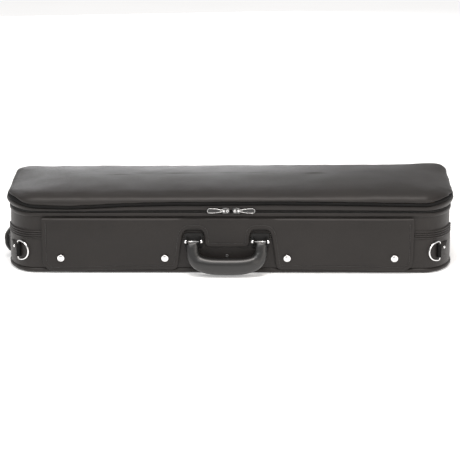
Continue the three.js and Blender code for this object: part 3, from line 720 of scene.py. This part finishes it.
def edge_distance(points, edge):
    """How far each (x, z) point is from the free edge."""
    start = edge[:-1]
    along = edge[1:] - start
    length = (along**2).sum(axis=1)
    best = np.full(len(points), 1e9)
    for first in range(0, len(points), 4000):
        block = points[first:first + 4000, None, :] - start[None]
        share = np.clip((block * along[None]).sum(axis=2) / length[None], 0, 1)
        gap = block - share[..., None] * along[None]
        best[first:first + 4000] = np.sqrt((gap**2).sum(axis=2).min(axis=1))
    return best


def flap_relief(points, distance):
    """How far the flap's face stands proud of its flat sheet: hem, stitch lines, padding and waves."""
    place = np.column_stack([points[:, 0], np.zeros(len(points)), points[:, 1]])
    hem = 0.2 * MM * np.exp(-((distance - 3.4 * MM) / (2.6 * MM)) ** 2)
    ends = np.clip((np.abs(points[:, 0]) / FLAP_HIGH.x - 0.9) / 0.06, 0.4, 1)
    stitched = ends * 0.6 * MM * np.exp(-((distance - HEM_WIDTH) / (0.9 * MM)) ** 2)
    padding = 1.2 * MM * (1 - np.exp(-np.maximum(distance - HEM_WIDTH, 0) / (16 * MM)))
    waves = 0.8 * MM * ripple(place, [85 * MM, 1, 48 * MM], 6.1)
    waves = waves + 0.35 * MM * ripple(place, [24 * MM, 1, 34 * MM], 1.9)
    pucker = 0.3 * MM * np.exp(-((distance - HEM_WIDTH) / (4 * MM)) ** 2) * ripple(place, 7 * MM, 3.3)
    from_top = FLAP_HIGH.z - points[:, 1]
    top = np.clip(from_top / (9 * MM), 0, 1)
    seam = 2.9 * MM * np.exp(-((from_top / (17 * MM)) ** 2))
    snaps = np.zeros(len(points))
    for number in range(1, 5):
        centre = centre_of(f"snap_cap_{number}")
        reach = np.linalg.norm(points - [centre.x, centre.z], axis=1)
        snaps += 1.5 * MM * np.exp(-(reach / (11 * MM)) ** 2)
    raised = hem - stitched + (padding + waves) * top + pucker - snaps
    return raised * np.clip(distance / (2 * MM), 0, 1) - seam


def flap_columns(edge, fine):
    """The edge's points, with more of them close to each steep rise."""
    left, right, middle = HANDLE[0] - PIN_SPREAD, HANDLE[0] + PIN_SPREAD, HANDLE[0]
    rises = [(FLAP_LOW.x, 1), (left - ARCH, -1), (left + ARCH, 1), (middle - FLARE, -1)]
    rises += [(FLAP_HIGH.x, -1), (right + ARCH, 1), (right - ARCH, -1), (middle + FLARE, 1)]
    extra = np.sort(np.concatenate([x + way * fine for x, way in rises]))
    columns = list(map(tuple, edge))
    for x, z in zip(extra, np.interp(extra, edge[:, 0], edge[:, 1])):
        place = next((i for i, point in enumerate(columns) if point[0] > x), None)
        if place:
            columns.insert(place, (x, z))
    return columns


def make_flap():
    edge = flap_edge(2.6 * MM)
    fine = [0.6, 1.3, 2.2, 3.4, 4.8, 5.8, 6.4, 7.0, 7.6, 8.4, 10, 11.6, 12.5, 13.6, 16]
    fine = np.array(fine) * MM
    top = FLAP_HIGH.z
    lower = np.concatenate([[0], fine])
    rows = []
    for x, z in flap_columns(edge, fine):
        if top - z > lower[-1] + 3 * MM:
            upper = np.linspace(lower[-1], top - z - 1.2 * MM, 22)[1:-1]
            heights = np.concatenate([lower, upper, [top - z]])
        else:
            heights = np.linspace(0, top - z, len(lower) + 21) * 0.999
        rows.append(np.column_stack([np.full(len(heights), x), z + heights]))
    flat = np.array(rows)
    count, size = flat.shape[:2]
    points = flat.reshape(-1, 2)
    distance = edge_distance(points, edge)
    rim = np.minimum(distance, np.maximum(top - points[:, 1], 0))
    rim[np.arange(count) * size] = 0
    thick = (FLAP_HIGH.y - FLAP_LOW.y) / 2
    round_over = np.sqrt(np.clip(1 - (1 - np.minimum(rim, thick) / thick) ** 2, 0, 1))
    centre = (FLAP_HIGH.y + FLAP_LOW.y) / 2
    relief = flap_relief(points, distance)
    front = centre - thick * round_over - np.maximum(relief, -2.4 * MM) * round_over
    back = centre + (thick - 0.3 * MM) * round_over
    vertices = [np.column_stack([points[:, 0], side, points[:, 1]]) for side in (front, back)]
    faces = grid_faces(count, size, wrap_columns=False)
    faces += [tuple(reversed([i + count * size for i in face])) for face in faces]
    shape = (np.concatenate(vertices), faces)
    made = piece("flap_panel", shape, "flap", "flap_fabric", ["front_flap"])
    make_flap_stitches(edge)


def make_flap_stitches(edge):
    """A row of stitches along the hem, each a short raised thread."""
    along = directions(edge)
    line = edge + np.column_stack([-along[:, 1], along[:, 0]]) * HEM_WIDTH
    kept = edge_distance(line, edge) > HEM_WIDTH * 0.97
    line = line[kept & (line[:, 1] < FLAP_HIGH.z - 3 * MM)]
    run = running(line)
    pitch, length = 4.2 * MM, 2.9 * MM
    vertices, faces = [], []
    for start in np.arange(pitch, run[-1] - pitch, pitch):
        ends = along_path(np.array([start, start + length]), run, line)
        if np.linalg.norm(ends[1] - ends[0]) <= 1.2 * length:
            stitch_into(vertices, faces, ends)
    piece("flap_stitching", (vertices, faces), "flap", "flap_fabric", material=THREAD)


def stitch_into(vertices, faces, ends):
    """One stitch: a small thread that dips into the fabric at both ends."""
    start, end = ends
    way = (end - start) / np.linalg.norm(end - start)
    side = np.array([-way[1], way[0]])
    first = len(vertices)
    steps, sides = 5, 6
    for share in np.arange(steps) / (steps - 1):
        centre = start + (end - start) * share
        swell = math.sin(math.pi * share)
        radius = 0.3 * MM * (0.55 + 0.45 * swell)
        y = FLAP_LOW.y + 0.1 * MM - 0.35 * MM * swell
        for turn in around(sides):
            x, z = centre + side * radius * math.cos(turn)
            vertices.append((x, y - radius * math.sin(turn), z))
    faces += [tuple(first + i for i in face) for face in grid_faces(steps, sides)]
    faces += [tuple(row + i for i in range(sides)) for row in (first, first + (steps - 1) * sides)]


# ---- turned and bevelled hardware ------------------------------------------------------------


def turned(profile, centre, direction, segments=40):
    """A lathe shape: (radius, height) in millimetres, with height along direction from centre."""
    turn = around(segments)
    unit = np.column_stack([np.cos(turn), np.sin(turn), np.ones(segments)])
    rows = [unit * [radius * MM, radius * MM, height * MM] for radius, height in profile]
    spin = Vector((0, 0, 1)).rotation_difference(Vector(direction)).to_matrix()
    vertices, faces = loft(rows, start_cap=False, end_cap=False)
    return vertices @ np.array(spin).T + np.array(centre), faces


def copied(node, name):
    """A new object with a CAD node's shape, and the node itself."""
    source = frame["nodes"][node]
    return added(name, source.data.copy()), source


def bevelled(node, name, width, slot, material=None, segments=3):
    """The CAD node's own shape with its edges eased."""
    made, source = copied(node, name)
    modifier = made.modifiers.new("ease", "BEVEL")
    modifier.width = width
    modifier.segments = segments
    modifier.limit_method = "ANGLE"
    modifier.angle_limit = math.radians(40)
    apply_modifiers(made)
    return dress(made, source["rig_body"], slot, [node], material)


def apply_modifiers(made):
    bpy.context.view_layer.update()
    graph = bpy.context.evaluated_depsgraph_get()
    baked = bpy.data.meshes.new_from_object(made.evaluated_get(graph))
    made.modifiers.clear()
    made.data = baked


def centre_of(node):
    low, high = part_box(node)
    return (low + high) / 2


SNAP_CAP = [(0, 0.1), (5.4, 0.1), (6.0, 0.5), (6.2, 1.0), (5.9, 1.5), (5.4, 1.55), (5.0, 1.35)]
SNAP_CAP += [(4.6, 1.5), (3.8, 2.2), (2.5, 2.7), (1.2, 2.95), (0, 3.0)]
SNAP_STUD = [(0, 0), (4.6, 0), (4.6, 0.25), (2.6, 0.4), (2.2, 0.55), (2.5, 0.8), (2.0, 1.0), (0, 1.05)]
SCREW_HEAD = [(0, 0), (2.9, 0), (3.0, 0.4), (2.5, 1.0), (1.5, 1.4), (1.2, 1.0), (0, 0.9)]
PIN_END = [(0, 0), (0.95, 0), (0.95, 9.4), (2.2, 9.8), (2.9, 10.6), (3.4, 12), (3.4, 13.6)]
PIN_END += [(2.9, 15), (1.8, 16), (0, 16.3)]
RIVET_DOME = [(0, 0), (2.7, 0), (2.8, 0.4), (2.4, 0.9), (1.6, 1.4), (0.8, 1.6), (0, 1.7)]
PULL_BARREL = [(0, -2.4), (1.2, -2.4), (1.4, -2.1), (1.4, 2.1), (1.2, 2.4), (0, 2.4)]


def on_back_of(node, lift=0.0):
    """The middle of a node, at its back face or a little in front of it."""
    centre = centre_of(node)
    return centre.x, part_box(node)[1].y - lift, centre.z


def make_snaps():
    """Domed spring caps with a rolled rim, and the stud behind each."""
    for number in range(1, 5):
        cap, stud = f"snap_cap_{number}", f"snap_stud_{number}"
        dome = turned(SNAP_CAP, on_back_of(cap, 0.7 * MM), (0, -1, -0.2))
        piece(f"snap_cap_dome_{number}", dome, "flap", "chrome_hardware", [cap])
        post = turned(SNAP_STUD, on_back_of(stud), (0, -1, 0), 28)
        piece(f"snap_stud_post_{number}", post, "base", "chrome_hardware", [stud])


def make_cover_screw():
    head = turned(SCREW_HEAD, on_back_of("cover_screw"), (0, -1, 0), 32)
    piece("cover_screw_head", head, "base", "chrome_hardware", ["cover_screw"], DULL_METAL)


# ---- handle --------------------------------------------------------------------------------


# Half of the grip: share of the pin spread, z, y, half width and half depth in millimetres.
GRIP_HALF = [
    (1.045, 2.0, 2.4, 6.5, 1.0),
    (1.045, 1.5, 2.3, 8.6, 2.0),
    (1.045, -0.6, 2.0, 9.2, 2.6),
    (1.042, -3, 1.0, 9.6, 5.2),
    (1.035, -8, 0.2, 10, 7.2),
    (1.03, -14, -0.6, 10.3, 8.2),
    (1.02, -20.5, -2, 10.8, 9),
    (0.96, -29, -3.8, 11.8, 10),
    (0.81, -36.4, -6, 12.8, 11.4),
    (0.5, -41, -7.8, 14, 12.2),
    (0, -41.9, -8.4, 14.4, 12.6),
]


def make_grip():
    """The moulded grip: round legs that widen into a flat-topped, full-bellied bar."""
    stations = [(-share, *rest) for share, *rest in GRIP_HALF]
    stations = curve(stations + GRIP_HALF[-2::-1], 110)
    centre = stations[:, [0, 2, 1]] * [PIN_SPREAD, MM, MM]
    along = directions(centre[:, [0, 2]])
    along[:3] = [0, -1]
    along[-3:] = [0, 1]
    turn = around(36, 0.5)
    wide = squared(np.cos(turn), 0.82)
    deep = squared(np.sin(turn), 0.82)
    rows = []
    for place, way, (share, _, _, half_wide, half_deep) in zip(centre, along, stations):
        belly = 1 - min(abs(share), 1) ** 3
        seam = 1 - 0.035 * np.exp(-((turn - 1.5 * math.pi) / 0.07) ** 2) * belly
        x = place[0] - way[1] * wide * half_wide * MM
        y = place[1] + deep * half_deep * MM * seam
        z = place[2] + way[0] * wide * half_wide * MM
        rows.append(np.column_stack([x, y, z]))
    rows = np.array(rows) + np.array(HANDLE)
    rows[..., 2] = np.maximum(rows[..., 2], 0.6 * MM)
    piece("carry_grip", loft(rows), "handle", "grip_plastic", ["handle_grip"])


def make_handle_hardware():
    for side, sign in SIDES:
        centre = np.array(HANDLE) + [sign * PIN_SPREAD, 0, 0]
        make_bracket(side, centre)
        vertices, faces = [], []
        for way in (-1, 1):
            more, quads = turned(PIN_END, centre, (way, 0, 0), 32)
            faces += [tuple(i + len(vertices) for i in quad) for quad in quads]
            vertices += [tuple(v) for v in more]
        node = [f"handle_pin_{side}"]
        piece(f"grip_pin_{side}", (vertices, faces), "base", "chrome_hardware", node)


def make_bracket(side, centre):
    """The bracket plate, sunk in a slot cut through the cover; the slot is a near-black box, painted
    shade of the recess.
    """
    node, trim = f"handle_bracket_{side}", LOOKS["piping_trim"]
    made = bevelled(node, f"grip_bracket_{side}", 0.5 * MM, "black_plastic", trim)
    top = centre[2] + 8.4 * MM
    for vertex in made.data.vertices:
        vertex.co.z = min(vertex.co.z, top)
    back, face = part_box(node)[1].y, HEM_LOW.y - 1.9 * MM
    edge = rounded_plate(15.4 * MM, -14 * MM, 11.2 * MM, 3 * MM)
    rows = []
    for shrink, y in ((0.98, back), (1, back), (1, face), (0.97, face - 0.5 * MM)):
        x, z = (centre[[0, 2]] + edge * shrink).T
        rows.append(np.column_stack([x, np.full(len(edge), y), z]))
    # Painted shade: a near-black box filling the slot's recess behind the cover.
    piece(f"bracket_slot_shade_{side}", loft(rows), "base", "black_plastic", material=SLOT_SHADE_PAINT)


def rounded_plate(half, bottom, top, radius):
    """A rectangle with round corners, in X and Z."""
    points = []
    for quarter, (x, z) in enumerate(((half, top), (-half, top), (-half, bottom), (half, bottom))):
        turn = (quarter + np.linspace(0, 1, 7)) * math.pi / 2
        middle = [x - math.copysign(radius, x), z - math.copysign(radius, z)]
        points.append(middle + radius * np.column_stack([np.cos(turn), np.sin(turn)]))
    return np.concatenate(points)


# ---- strap rings, tabs and rivets ------------------------------------------------------------


def leaning(points, angle):
    """Points of (x, y) turned by an angle."""
    x, y = points
    return x * math.cos(angle) - y * math.sin(angle), x * math.sin(angle) + y * math.cos(angle)


def make_rings():
    """The D-rings, each with its tab, the sleeve that its bar runs in, and its rivet."""
    wire, lean, steps = 1.35 * MM, math.radians(-38), 44
    turn = (np.arange(steps + 1) / steps - 0.5) * math.pi
    spin = around(16)
    for side, sign in SIDES:
        joint = JOINTS[f"ring_{side}_swing"]["pos_m"]
        node = f"d_ring_{side}"
        low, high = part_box(node)
        half = (high.z - low.z) / 2 - wire
        arc = np.column_stack([24.5 * MM * np.cos(turn).clip(0) ** 0.8, half * np.sin(turn)])
        bar = np.column_stack([np.zeros(12), np.linspace(half, -half, 14)[1:-1]])
        path = np.concatenate([arc, bar])
        for _ in range(3):
            path = path * 0.5 + (np.roll(path, 1, axis=0) + np.roll(path, -1, axis=0)) * 0.25
        along = np.roll(path, -1, axis=0) - np.roll(path, 1, axis=0)
        along /= np.linalg.norm(along, axis=1, keepdims=True)
        rows = []
        for place, way in zip(path, along):
            reach, height = (place + wire * np.cos(spin)[:, None] * [way[1], -way[0]]).T
            x, y = leaning((reach, wire * np.sin(spin)), lean)
            z = (low.z + high.z) / 2 + height
            rows.append(np.column_stack([joint[0] - sign * x, joint[1] + y, z]))
        shape = loft(rows, wrap_rows=True)
        piece(f"strap_ring_{side}", shape, f"ring_{side}", "chrome_hardware", [node])
        cover = LOOKS["flap_fabric"]
        bevelled(f"d_ring_tab_{side}", f"ring_tab_{side}", 0.5 * MM, "webbing", cover)
        make_ring_loop(side, sign, joint)
        make_rivet(side)


def make_ring_loop(side, sign, joint):
    """The ribbed black sleeve of the tab that the ring's bar runs in."""
    low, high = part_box(f"d_ring_tab_{side}")
    half = (high.z - low.z) / 2 - 0.8 * MM
    spin = around(24)
    rows = []
    for height in np.linspace(-half, half, 41):
        rib = 1 + 0.035 * math.cos(height / MM * 2.6)
        oval = (0.9 + 4.4 * np.cos(spin) * rib) * MM, 3.5 * np.sin(spin) * rib * MM
        x, y = leaning(oval, math.radians(-48))
        z = np.full(24, (low.z + high.z) / 2 + height)
        rows.append(np.column_stack([joint[0] - sign * x, joint[1] + y, z]))
    piece(f"ring_loop_{side}", loft(rows), "base", "webbing", material=LOOKS["piping_trim"])


def make_rivet(side):
    """A domed rivet that stands square to the curved end."""
    node = f"tab_rivet_{side}"
    points = np.array([v.co for v in frame["nodes"][node].data.vertices])
    centre = points.mean(axis=0)
    spread = np.linalg.svd(points - centre)[2][2]
    outward = Vector(spread) if spread[1] < 0 else -Vector(spread)
    shape = turned(RIVET_DOME, centre - np.array(outward) * 0.9 * MM, outward, 32)
    piece(f"tab_rivet_dome_{side}", shape, "base", "chrome_hardware", [node])


# ---- zip sliders and pulls -------------------------------------------------------------------


def make_sliders():
    turns = np.arange(13) / 12 * 2 * math.pi
    crown = [(1.7 + 0.6 * math.cos(turn), 0.6 * math.sin(turn)) for turn in turns]
    for side, sign in SIDES:
        lift, node = 0.8 * MM, f"zip_slider_{side}"
        made = bevelled(node, f"slider_body_{side}", 0.6 * MM, "chrome_hardware", DULL_METAL)
        made.data.transform(Matrix.Translation((0, 0, lift)))
        middle = centre_of(node)
        top = middle.x - sign * 2.4 * MM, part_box(node)[0].y, middle.z + lift
        shape = turned(crown, top, (0, -1, 0), 28)
        piece(f"slider_crown_{side}", shape, f"slider_{side}", "chrome_hardware")
        low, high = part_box(f"zip_pull_{side}")
        pivot = low.x + 1.4 * MM if sign > 0 else high.x - 1.4 * MM
        place = (pivot, (low.y + high.y) / 2, (low.z + high.z) / 2 + lift)
        make_pull(side, sign, place, high.x - low.x - 1.4 * MM)


def teardrop(length, inset, count=20):
    """A teardrop outline in X and Z, narrow at its start and round at its end."""
    half, neck = 4.4 * MM - inset, max(2.2 * MM - inset, 0.25 * MM)
    start, end = inset * 2.2, length - half - inset
    body = [(start, neck), (start + 4 * MM, neck * 1.1), (length * 0.55, half * 0.94), (end, half)]
    body = curve(body, count)
    turn = np.linspace(math.pi / 2, -math.pi / 2, count)
    cap = np.column_stack([length - inset - half + half * np.cos(turn), half * np.sin(turn)])
    return np.concatenate([body, cap[1:-1], body[::-1] * [1, -1]])


def make_pull(side, sign, place, length):
    """A pull: a bright teardrop frame round a dark moulded insert, on a turned barrel."""
    x, y, z = place
    thick, inner = 0.9 * MM, 0.85 * MM
    body = f"pull_{side}"

    def slices(sections):
        """Teardrops at each section's (inset, depth)."""
        rows = []
        for inset, depth in sections:
            flat = teardrop(length, inset)
            level = np.full(len(flat), y + depth)
            rows.append(np.column_stack([x + sign * flat[:, 0], level, z + flat[:, 1]]))
        return rows

    rim, middle = 0.25 * MM, 0.5 * inner + 0.25 * MM
    bead = [(rim, -thick * 0.6), (0, -thick), (middle, -thick * 1.15), (inner + rim, -thick)]
    bead += [(inner + rim, thick), (middle, thick * 1.15), (0, thick), (rim, thick * 0.6)]
    shape = loft(slices(bead), wrap_rows=True)
    piece(f"pull_frame_{side}", shape, body, "chrome_hardware", [f"zip_pull_{side}"], SOFT_METAL)
    flat, edge = inner + 1.4 * MM, inner + 0.3 * MM
    insert = [(flat, -0.75 * MM), (edge, -0.45 * MM), (edge, 0.45 * MM), (flat, 0.75 * MM)]
    piece(f"pull_insert_{side}", loft(slices(insert)), body, "black_plastic")
    barrel = turned(PULL_BARREL, place, (0, 0, 1), 24)
    piece(f"pull_barrel_{side}", barrel, body, "chrome_hardware")


# ---- grab strap, spine, stays ------------------------------------------------------------------


def make_end_strap():
    """The webbing grab strap: a loop whose ends are sewn flat to the end panel."""
    low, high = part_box("end_handle")
    width = high.y - low.y
    loop = [(-0.9, 62), (-1.6, 57), (-5.6, 50), (-10.4, 44), (-12.1, 38), (-11.6, 31), (-11, 25)]
    back = [(-8, 19.5), (-4.6, 15.5), (-3.6, 20), (-3.6, 30), (-3.6, 44), (-2, 54)]
    path = curve(loop + back, 80) * MM
    turn = around(20, 0.5)
    across = (low.y + high.y) / 2 + squared(np.cos(turn), 0.35) * width / 2
    deep = squared(np.sin(turn), 0.6) * 3.2 * MM
    rows = []
    for place, way in zip(path, directions(path)):
        x = -HALF_X - 0.5 * MM + place[0] + way[1] * deep
        x = np.minimum(x, -HALF_X - 0.1 * MM)
        rows.append(np.column_stack([x, across, place[1] - way[0] * deep]))
    made = piece("grab_strap", loft(rows), "base", "webbing", ["end_handle"])


def make_spine():
    """The fabric that joins base and lid along the back."""
    low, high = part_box("spine_strip")
    heights = np.linspace(low.z, high.z, 13)
    straight = HALF_X - BACK_CORNER[0] + 2 * MM
    bulge = 0.35 * MM * np.sin((heights - low.z) / (high.z - low.z) * math.pi)
    rows = []
    for x in np.linspace(-straight, straight, 60):
        across = np.full(13, x)
        place = np.column_stack([across, heights, np.zeros(13)])
        wave = 0.15 * MM * ripple(place, [20 * MM, 9 * MM, 1], 0)
        outer = np.column_stack([across, low.y + 1.2 * MM + bulge + wave, heights])
        inner = np.column_stack([across, np.full(13, low.y + 0.1 * MM), heights])[::-1]
        rows.append(np.concatenate([outer, inner]))
    made = piece("spine_fabric", loft(rows), None, "cover_fabric", ["spine_strip"])
    bend_at_zip(made)


def bend_at_zip(made):
    """Bake the piece's placement into its mesh."""
    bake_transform(made)


def make_stays():
    """Each lid-stay ribbon, shaped as it lies folded at the rim."""
    hinge = Vector(JOINTS["lid_hinge"]["pos_m"])
    open_angle = math.radians(100)
    half, thick = 4.5 * MM, 0.35 * MM
    share = np.linspace(0, 1, 60)
    z = ZIP_Z - half + share * 2 * half
    for side, _ in SIDES:
        low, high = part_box(f"lid_stay_{side}")
        middle = (hinge.y - low.y) * math.cos(open_angle / 2)
        y = hinge.y - middle / np.cos((eased(share) - 0.5) * open_angle)
        corners = (low.x, -thick), (high.x, -thick), (high.x, thick), (low.x, thick)
        rows = [[(x, py + out, pz) for x, out in corners] for py, pz in zip(y, z)]
        node = [f"lid_stay_{side}"]
        made = piece(f"stay_ribbon_{side}", loft(rows), None, "webbing", node)
        bend_at_zip(made)


# ---- interior --------------------------------------------------------------------------------


def softened(node, name, voxel, rounds, relief=0.5 * MM):
    """A plush-covered foam piece: the CAD solid with rounded edges and a soft uneven surface."""
    made, source = copied(node, name)
    remesh = made.modifiers.new("cells", "REMESH")
    remesh.mode = "VOXEL"
    remesh.voxel_size = voxel
    smooth = made.modifiers.new("ease", "SMOOTH")
    smooth.iterations = rounds
    smooth.factor = 0.5
    apply_modifiers(made)
    vertices = made.data.vertices
    co, normals = np.empty((2, len(vertices), 3))
    vertices.foreach_get("co", co.ravel())
    vertices.foreach_get("normal", normals.ravel())
    co += normals * (relief * ripple(co, 26 * MM, 4.2))[:, None]
    vertices.foreach_set("co", co.ravel())
    dress(made, source["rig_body"], "plush", [node])


def make_interior():
    softened("instrument_bed", "bed_plush", 3.2 * MM, 5)
    softened("bed_floor_pad", "bed_floor_plush", 4 * MM, 2)
    softened("neck_cradle", "cradle_plush", 1.6 * MM, 5)
    softened("accessory_tray", "tray_plush", 1.7 * MM, 2, 0.2 * MM)
    made = bevelled("neck_strap", "neck_strap_ribbon", 0.4 * MM, "webbing")
    for number in (1, 2):
        bevelled(f"bow_spinner_{number}", f"bow_button_bar_{number}", 0.8 * MM, "black_plastic")
        softened(f"bow_tip_pocket_{number}", f"tip_pocket_plush_{number}", MM, 3, 0.2 * MM)


def make_linings():
    lining = [(-122.6, 138.2), (-88, 137.9), (-53.1, 135.4), (-25.1, 132), (-11.2, 129)]
    lining += [(-6.8, 126.1), (-6.8, 109.8)]
    inner = [(-8.6, 109.8), (-8.6, 118), (-9.2, 124.2), (-13, 127.6), (-26, 130.4)]
    inner += [(-54, 133.8), (-88, 136), (-122.9, 136.4)]
    grid = rings(curve(inner, 40))
    normals = grid_normals(grid)
    pressed = 0.5 * MM * ripple(grid, 30 * MM, 3.0)
    grid -= normals * pressed[..., None] * np.sign(normals[..., 2:3] + 1e-6)
    close_middle(grid[-1])
    start = rings(lining)
    close_middle(start[0])
    shape = loft(np.concatenate([start, grid]), start_cap=False, end_cap=False)
    piece("lid_plush", shape, "lid", "plush", ["lid_lining"])
    low, high = heights_of("base_lining")
    section = [(-9.7, high), (-10.6, high + 0.5), (-11.5, high - 1)]
    section = curve([*section, (-11.8, (low + high) / 2), (-11.5, low)], 10)
    section = [*section, (-9.7, low)]
    made = band("rim_plush", section, "base", "plush", ["base_lining"], (0.2, 25, 0.0))


def finish_frame_nodes():
    """The CAD nodes that stay in view keep their shape and take their real finish."""
    slots = {row["node"]: row["material_slot"] for row in frame["record"]["subparts"]}
    for name, node in frame["nodes"].items():
        if node.hide_render:
            continue
        node.data.materials.clear()
        node.data.materials.append(LOOKS[slots[name]])
        node.data.polygons.foreach_set("use_smooth", [False] * len(node.data.polygons))
    # The plush runs on down the inside of the plywood, and over its floor.
    shell = frame["nodes"]["base_shell"]
    shell.data.materials.append(LOOKS["plush"])
    for face in shell.data.polygons:
        centre = shell.matrix_world @ face.center
        inside = abs(centre.x) < HALF_X - 6 * MM and abs(centre.y) < HALF_Y - 6 * MM
        if inside and 4 * MM < centre.z < BASE_TOP:
            face.material_index = 1


def make_hinges():
    for side, _ in SIDES:
        for node, name, width in (
            ("hinge_leaf_lower", "leaf_lower", 0.25 * MM),
            ("hinge_leaf_upper", "leaf_upper", 0.25 * MM),
            ("hinge_pin", "butt_pin", 0.2 * MM),
        ):
            names = f"{node}_{side}", f"{name}_{side}"
            bevelled(*names, width, "chrome_hardware", SOFT_METAL, 2)


# ---- stage -----------------------------------------------------------------------------------

CAMERA_DISTANCE = 3.5
CAMERA_ELEVATION = math.radians(14)
CAMERA_SIDE = 0.05
CAMERA_ROLL = math.radians(-0.12)


def make_stage():
    world = bpy.data.worlds.new("studio")
    world.use_nodes = True
    background = world.node_tree.nodes["Background"].inputs
    background["Color"].default_value = (1, 1, 1, 1)
    background["Strength"].default_value = 0.5
    bpy.context.scene.world = world
    bpy.context.scene.view_settings.view_transform = "Standard"
    mesh = bpy.data.meshes.new("floor")
    size = 30
    corners = [(-size, -size, 0), (size, -size, 0), (size, size, 0), (-size, size, 0)]
    mesh.from_pydata(corners, [], [(0, 1, 2, 3)])
    floor = added("floor", mesh)
    paint = Paint("pale_floor", 0.9, specular=0.1)
    paint.colour(paint.noise(3, 2), (0.3, grey(0.93)), (0.7, grey(0.95)))
    paint.shader.inputs["Emission Color"].default_value = (1, 1, 1, 1)
    paint.shader.inputs["Emission Strength"].default_value = 0.3
    mesh.materials.append(paint.material)
    for name, place, size, power, colour in (
        ("key", (-1.3, -2.1, 2.6), 1.8, 36, (1, 1, 1)),
        ("fill", (2.2, -2.6, 1.3), 2.2, 34, (1, 0.92, 0.84)),
        ("top", (0.1, -0.9, 3.1), 1.5, 76, (1, 0.94, 0.9)),
        ("back", (-0.4, 3.0, 0.44), 1.2, 15, (0.97, 0.98, 1)),
    ):
        lamp = bpy.data.lights.new(name, "AREA")
        lamp.energy = power
        lamp.size = size
        lamp.color = colour
        made = added(name, lamp)
        made.location = place
        aim = Vector((0, 0, 0.08)) - Vector(place)
        made.rotation_euler = aim.to_track_quat("-Z", "Y").to_euler()


def make_camera():
    data = bpy.data.cameras.new("camera")
    made = added("camera", data)
    target = Vector((0.0, 0.0, 0.06))
    flat = CAMERA_DISTANCE * math.cos(CAMERA_ELEVATION)
    height = CAMERA_DISTANCE * math.sin(CAMERA_ELEVATION)
    made.location = target + Vector((CAMERA_SIDE, -flat, height))
    aim = (target - made.location).to_track_quat("-Z", "Y")
    made.rotation_euler = (aim @ Quaternion((0, 0, 1), CAMERA_ROLL)).to_euler()
    width_at_target = 460 * 1.775 * MM
    data.sensor_width = 36
    data.lens = 36 * (target - made.location).length / width_at_target
    data.shift_x = -0.001
    data.shift_y = -0.018
    data.clip_end = 100
    bpy.context.scene.camera = made


make_stage()
make_camera()
make_lid_cover()
make_rim()
make_zip()
make_base_cover()
make_bottom_roll()
make_pocket()
make_flap()
make_snaps()
make_cover_screw()
make_grip()
make_handle_hardware()
make_rings()
make_sliders()
make_end_strap()
make_spine()
make_stays()
make_interior()
make_linings()
make_hinges()
finish_frame_nodes()
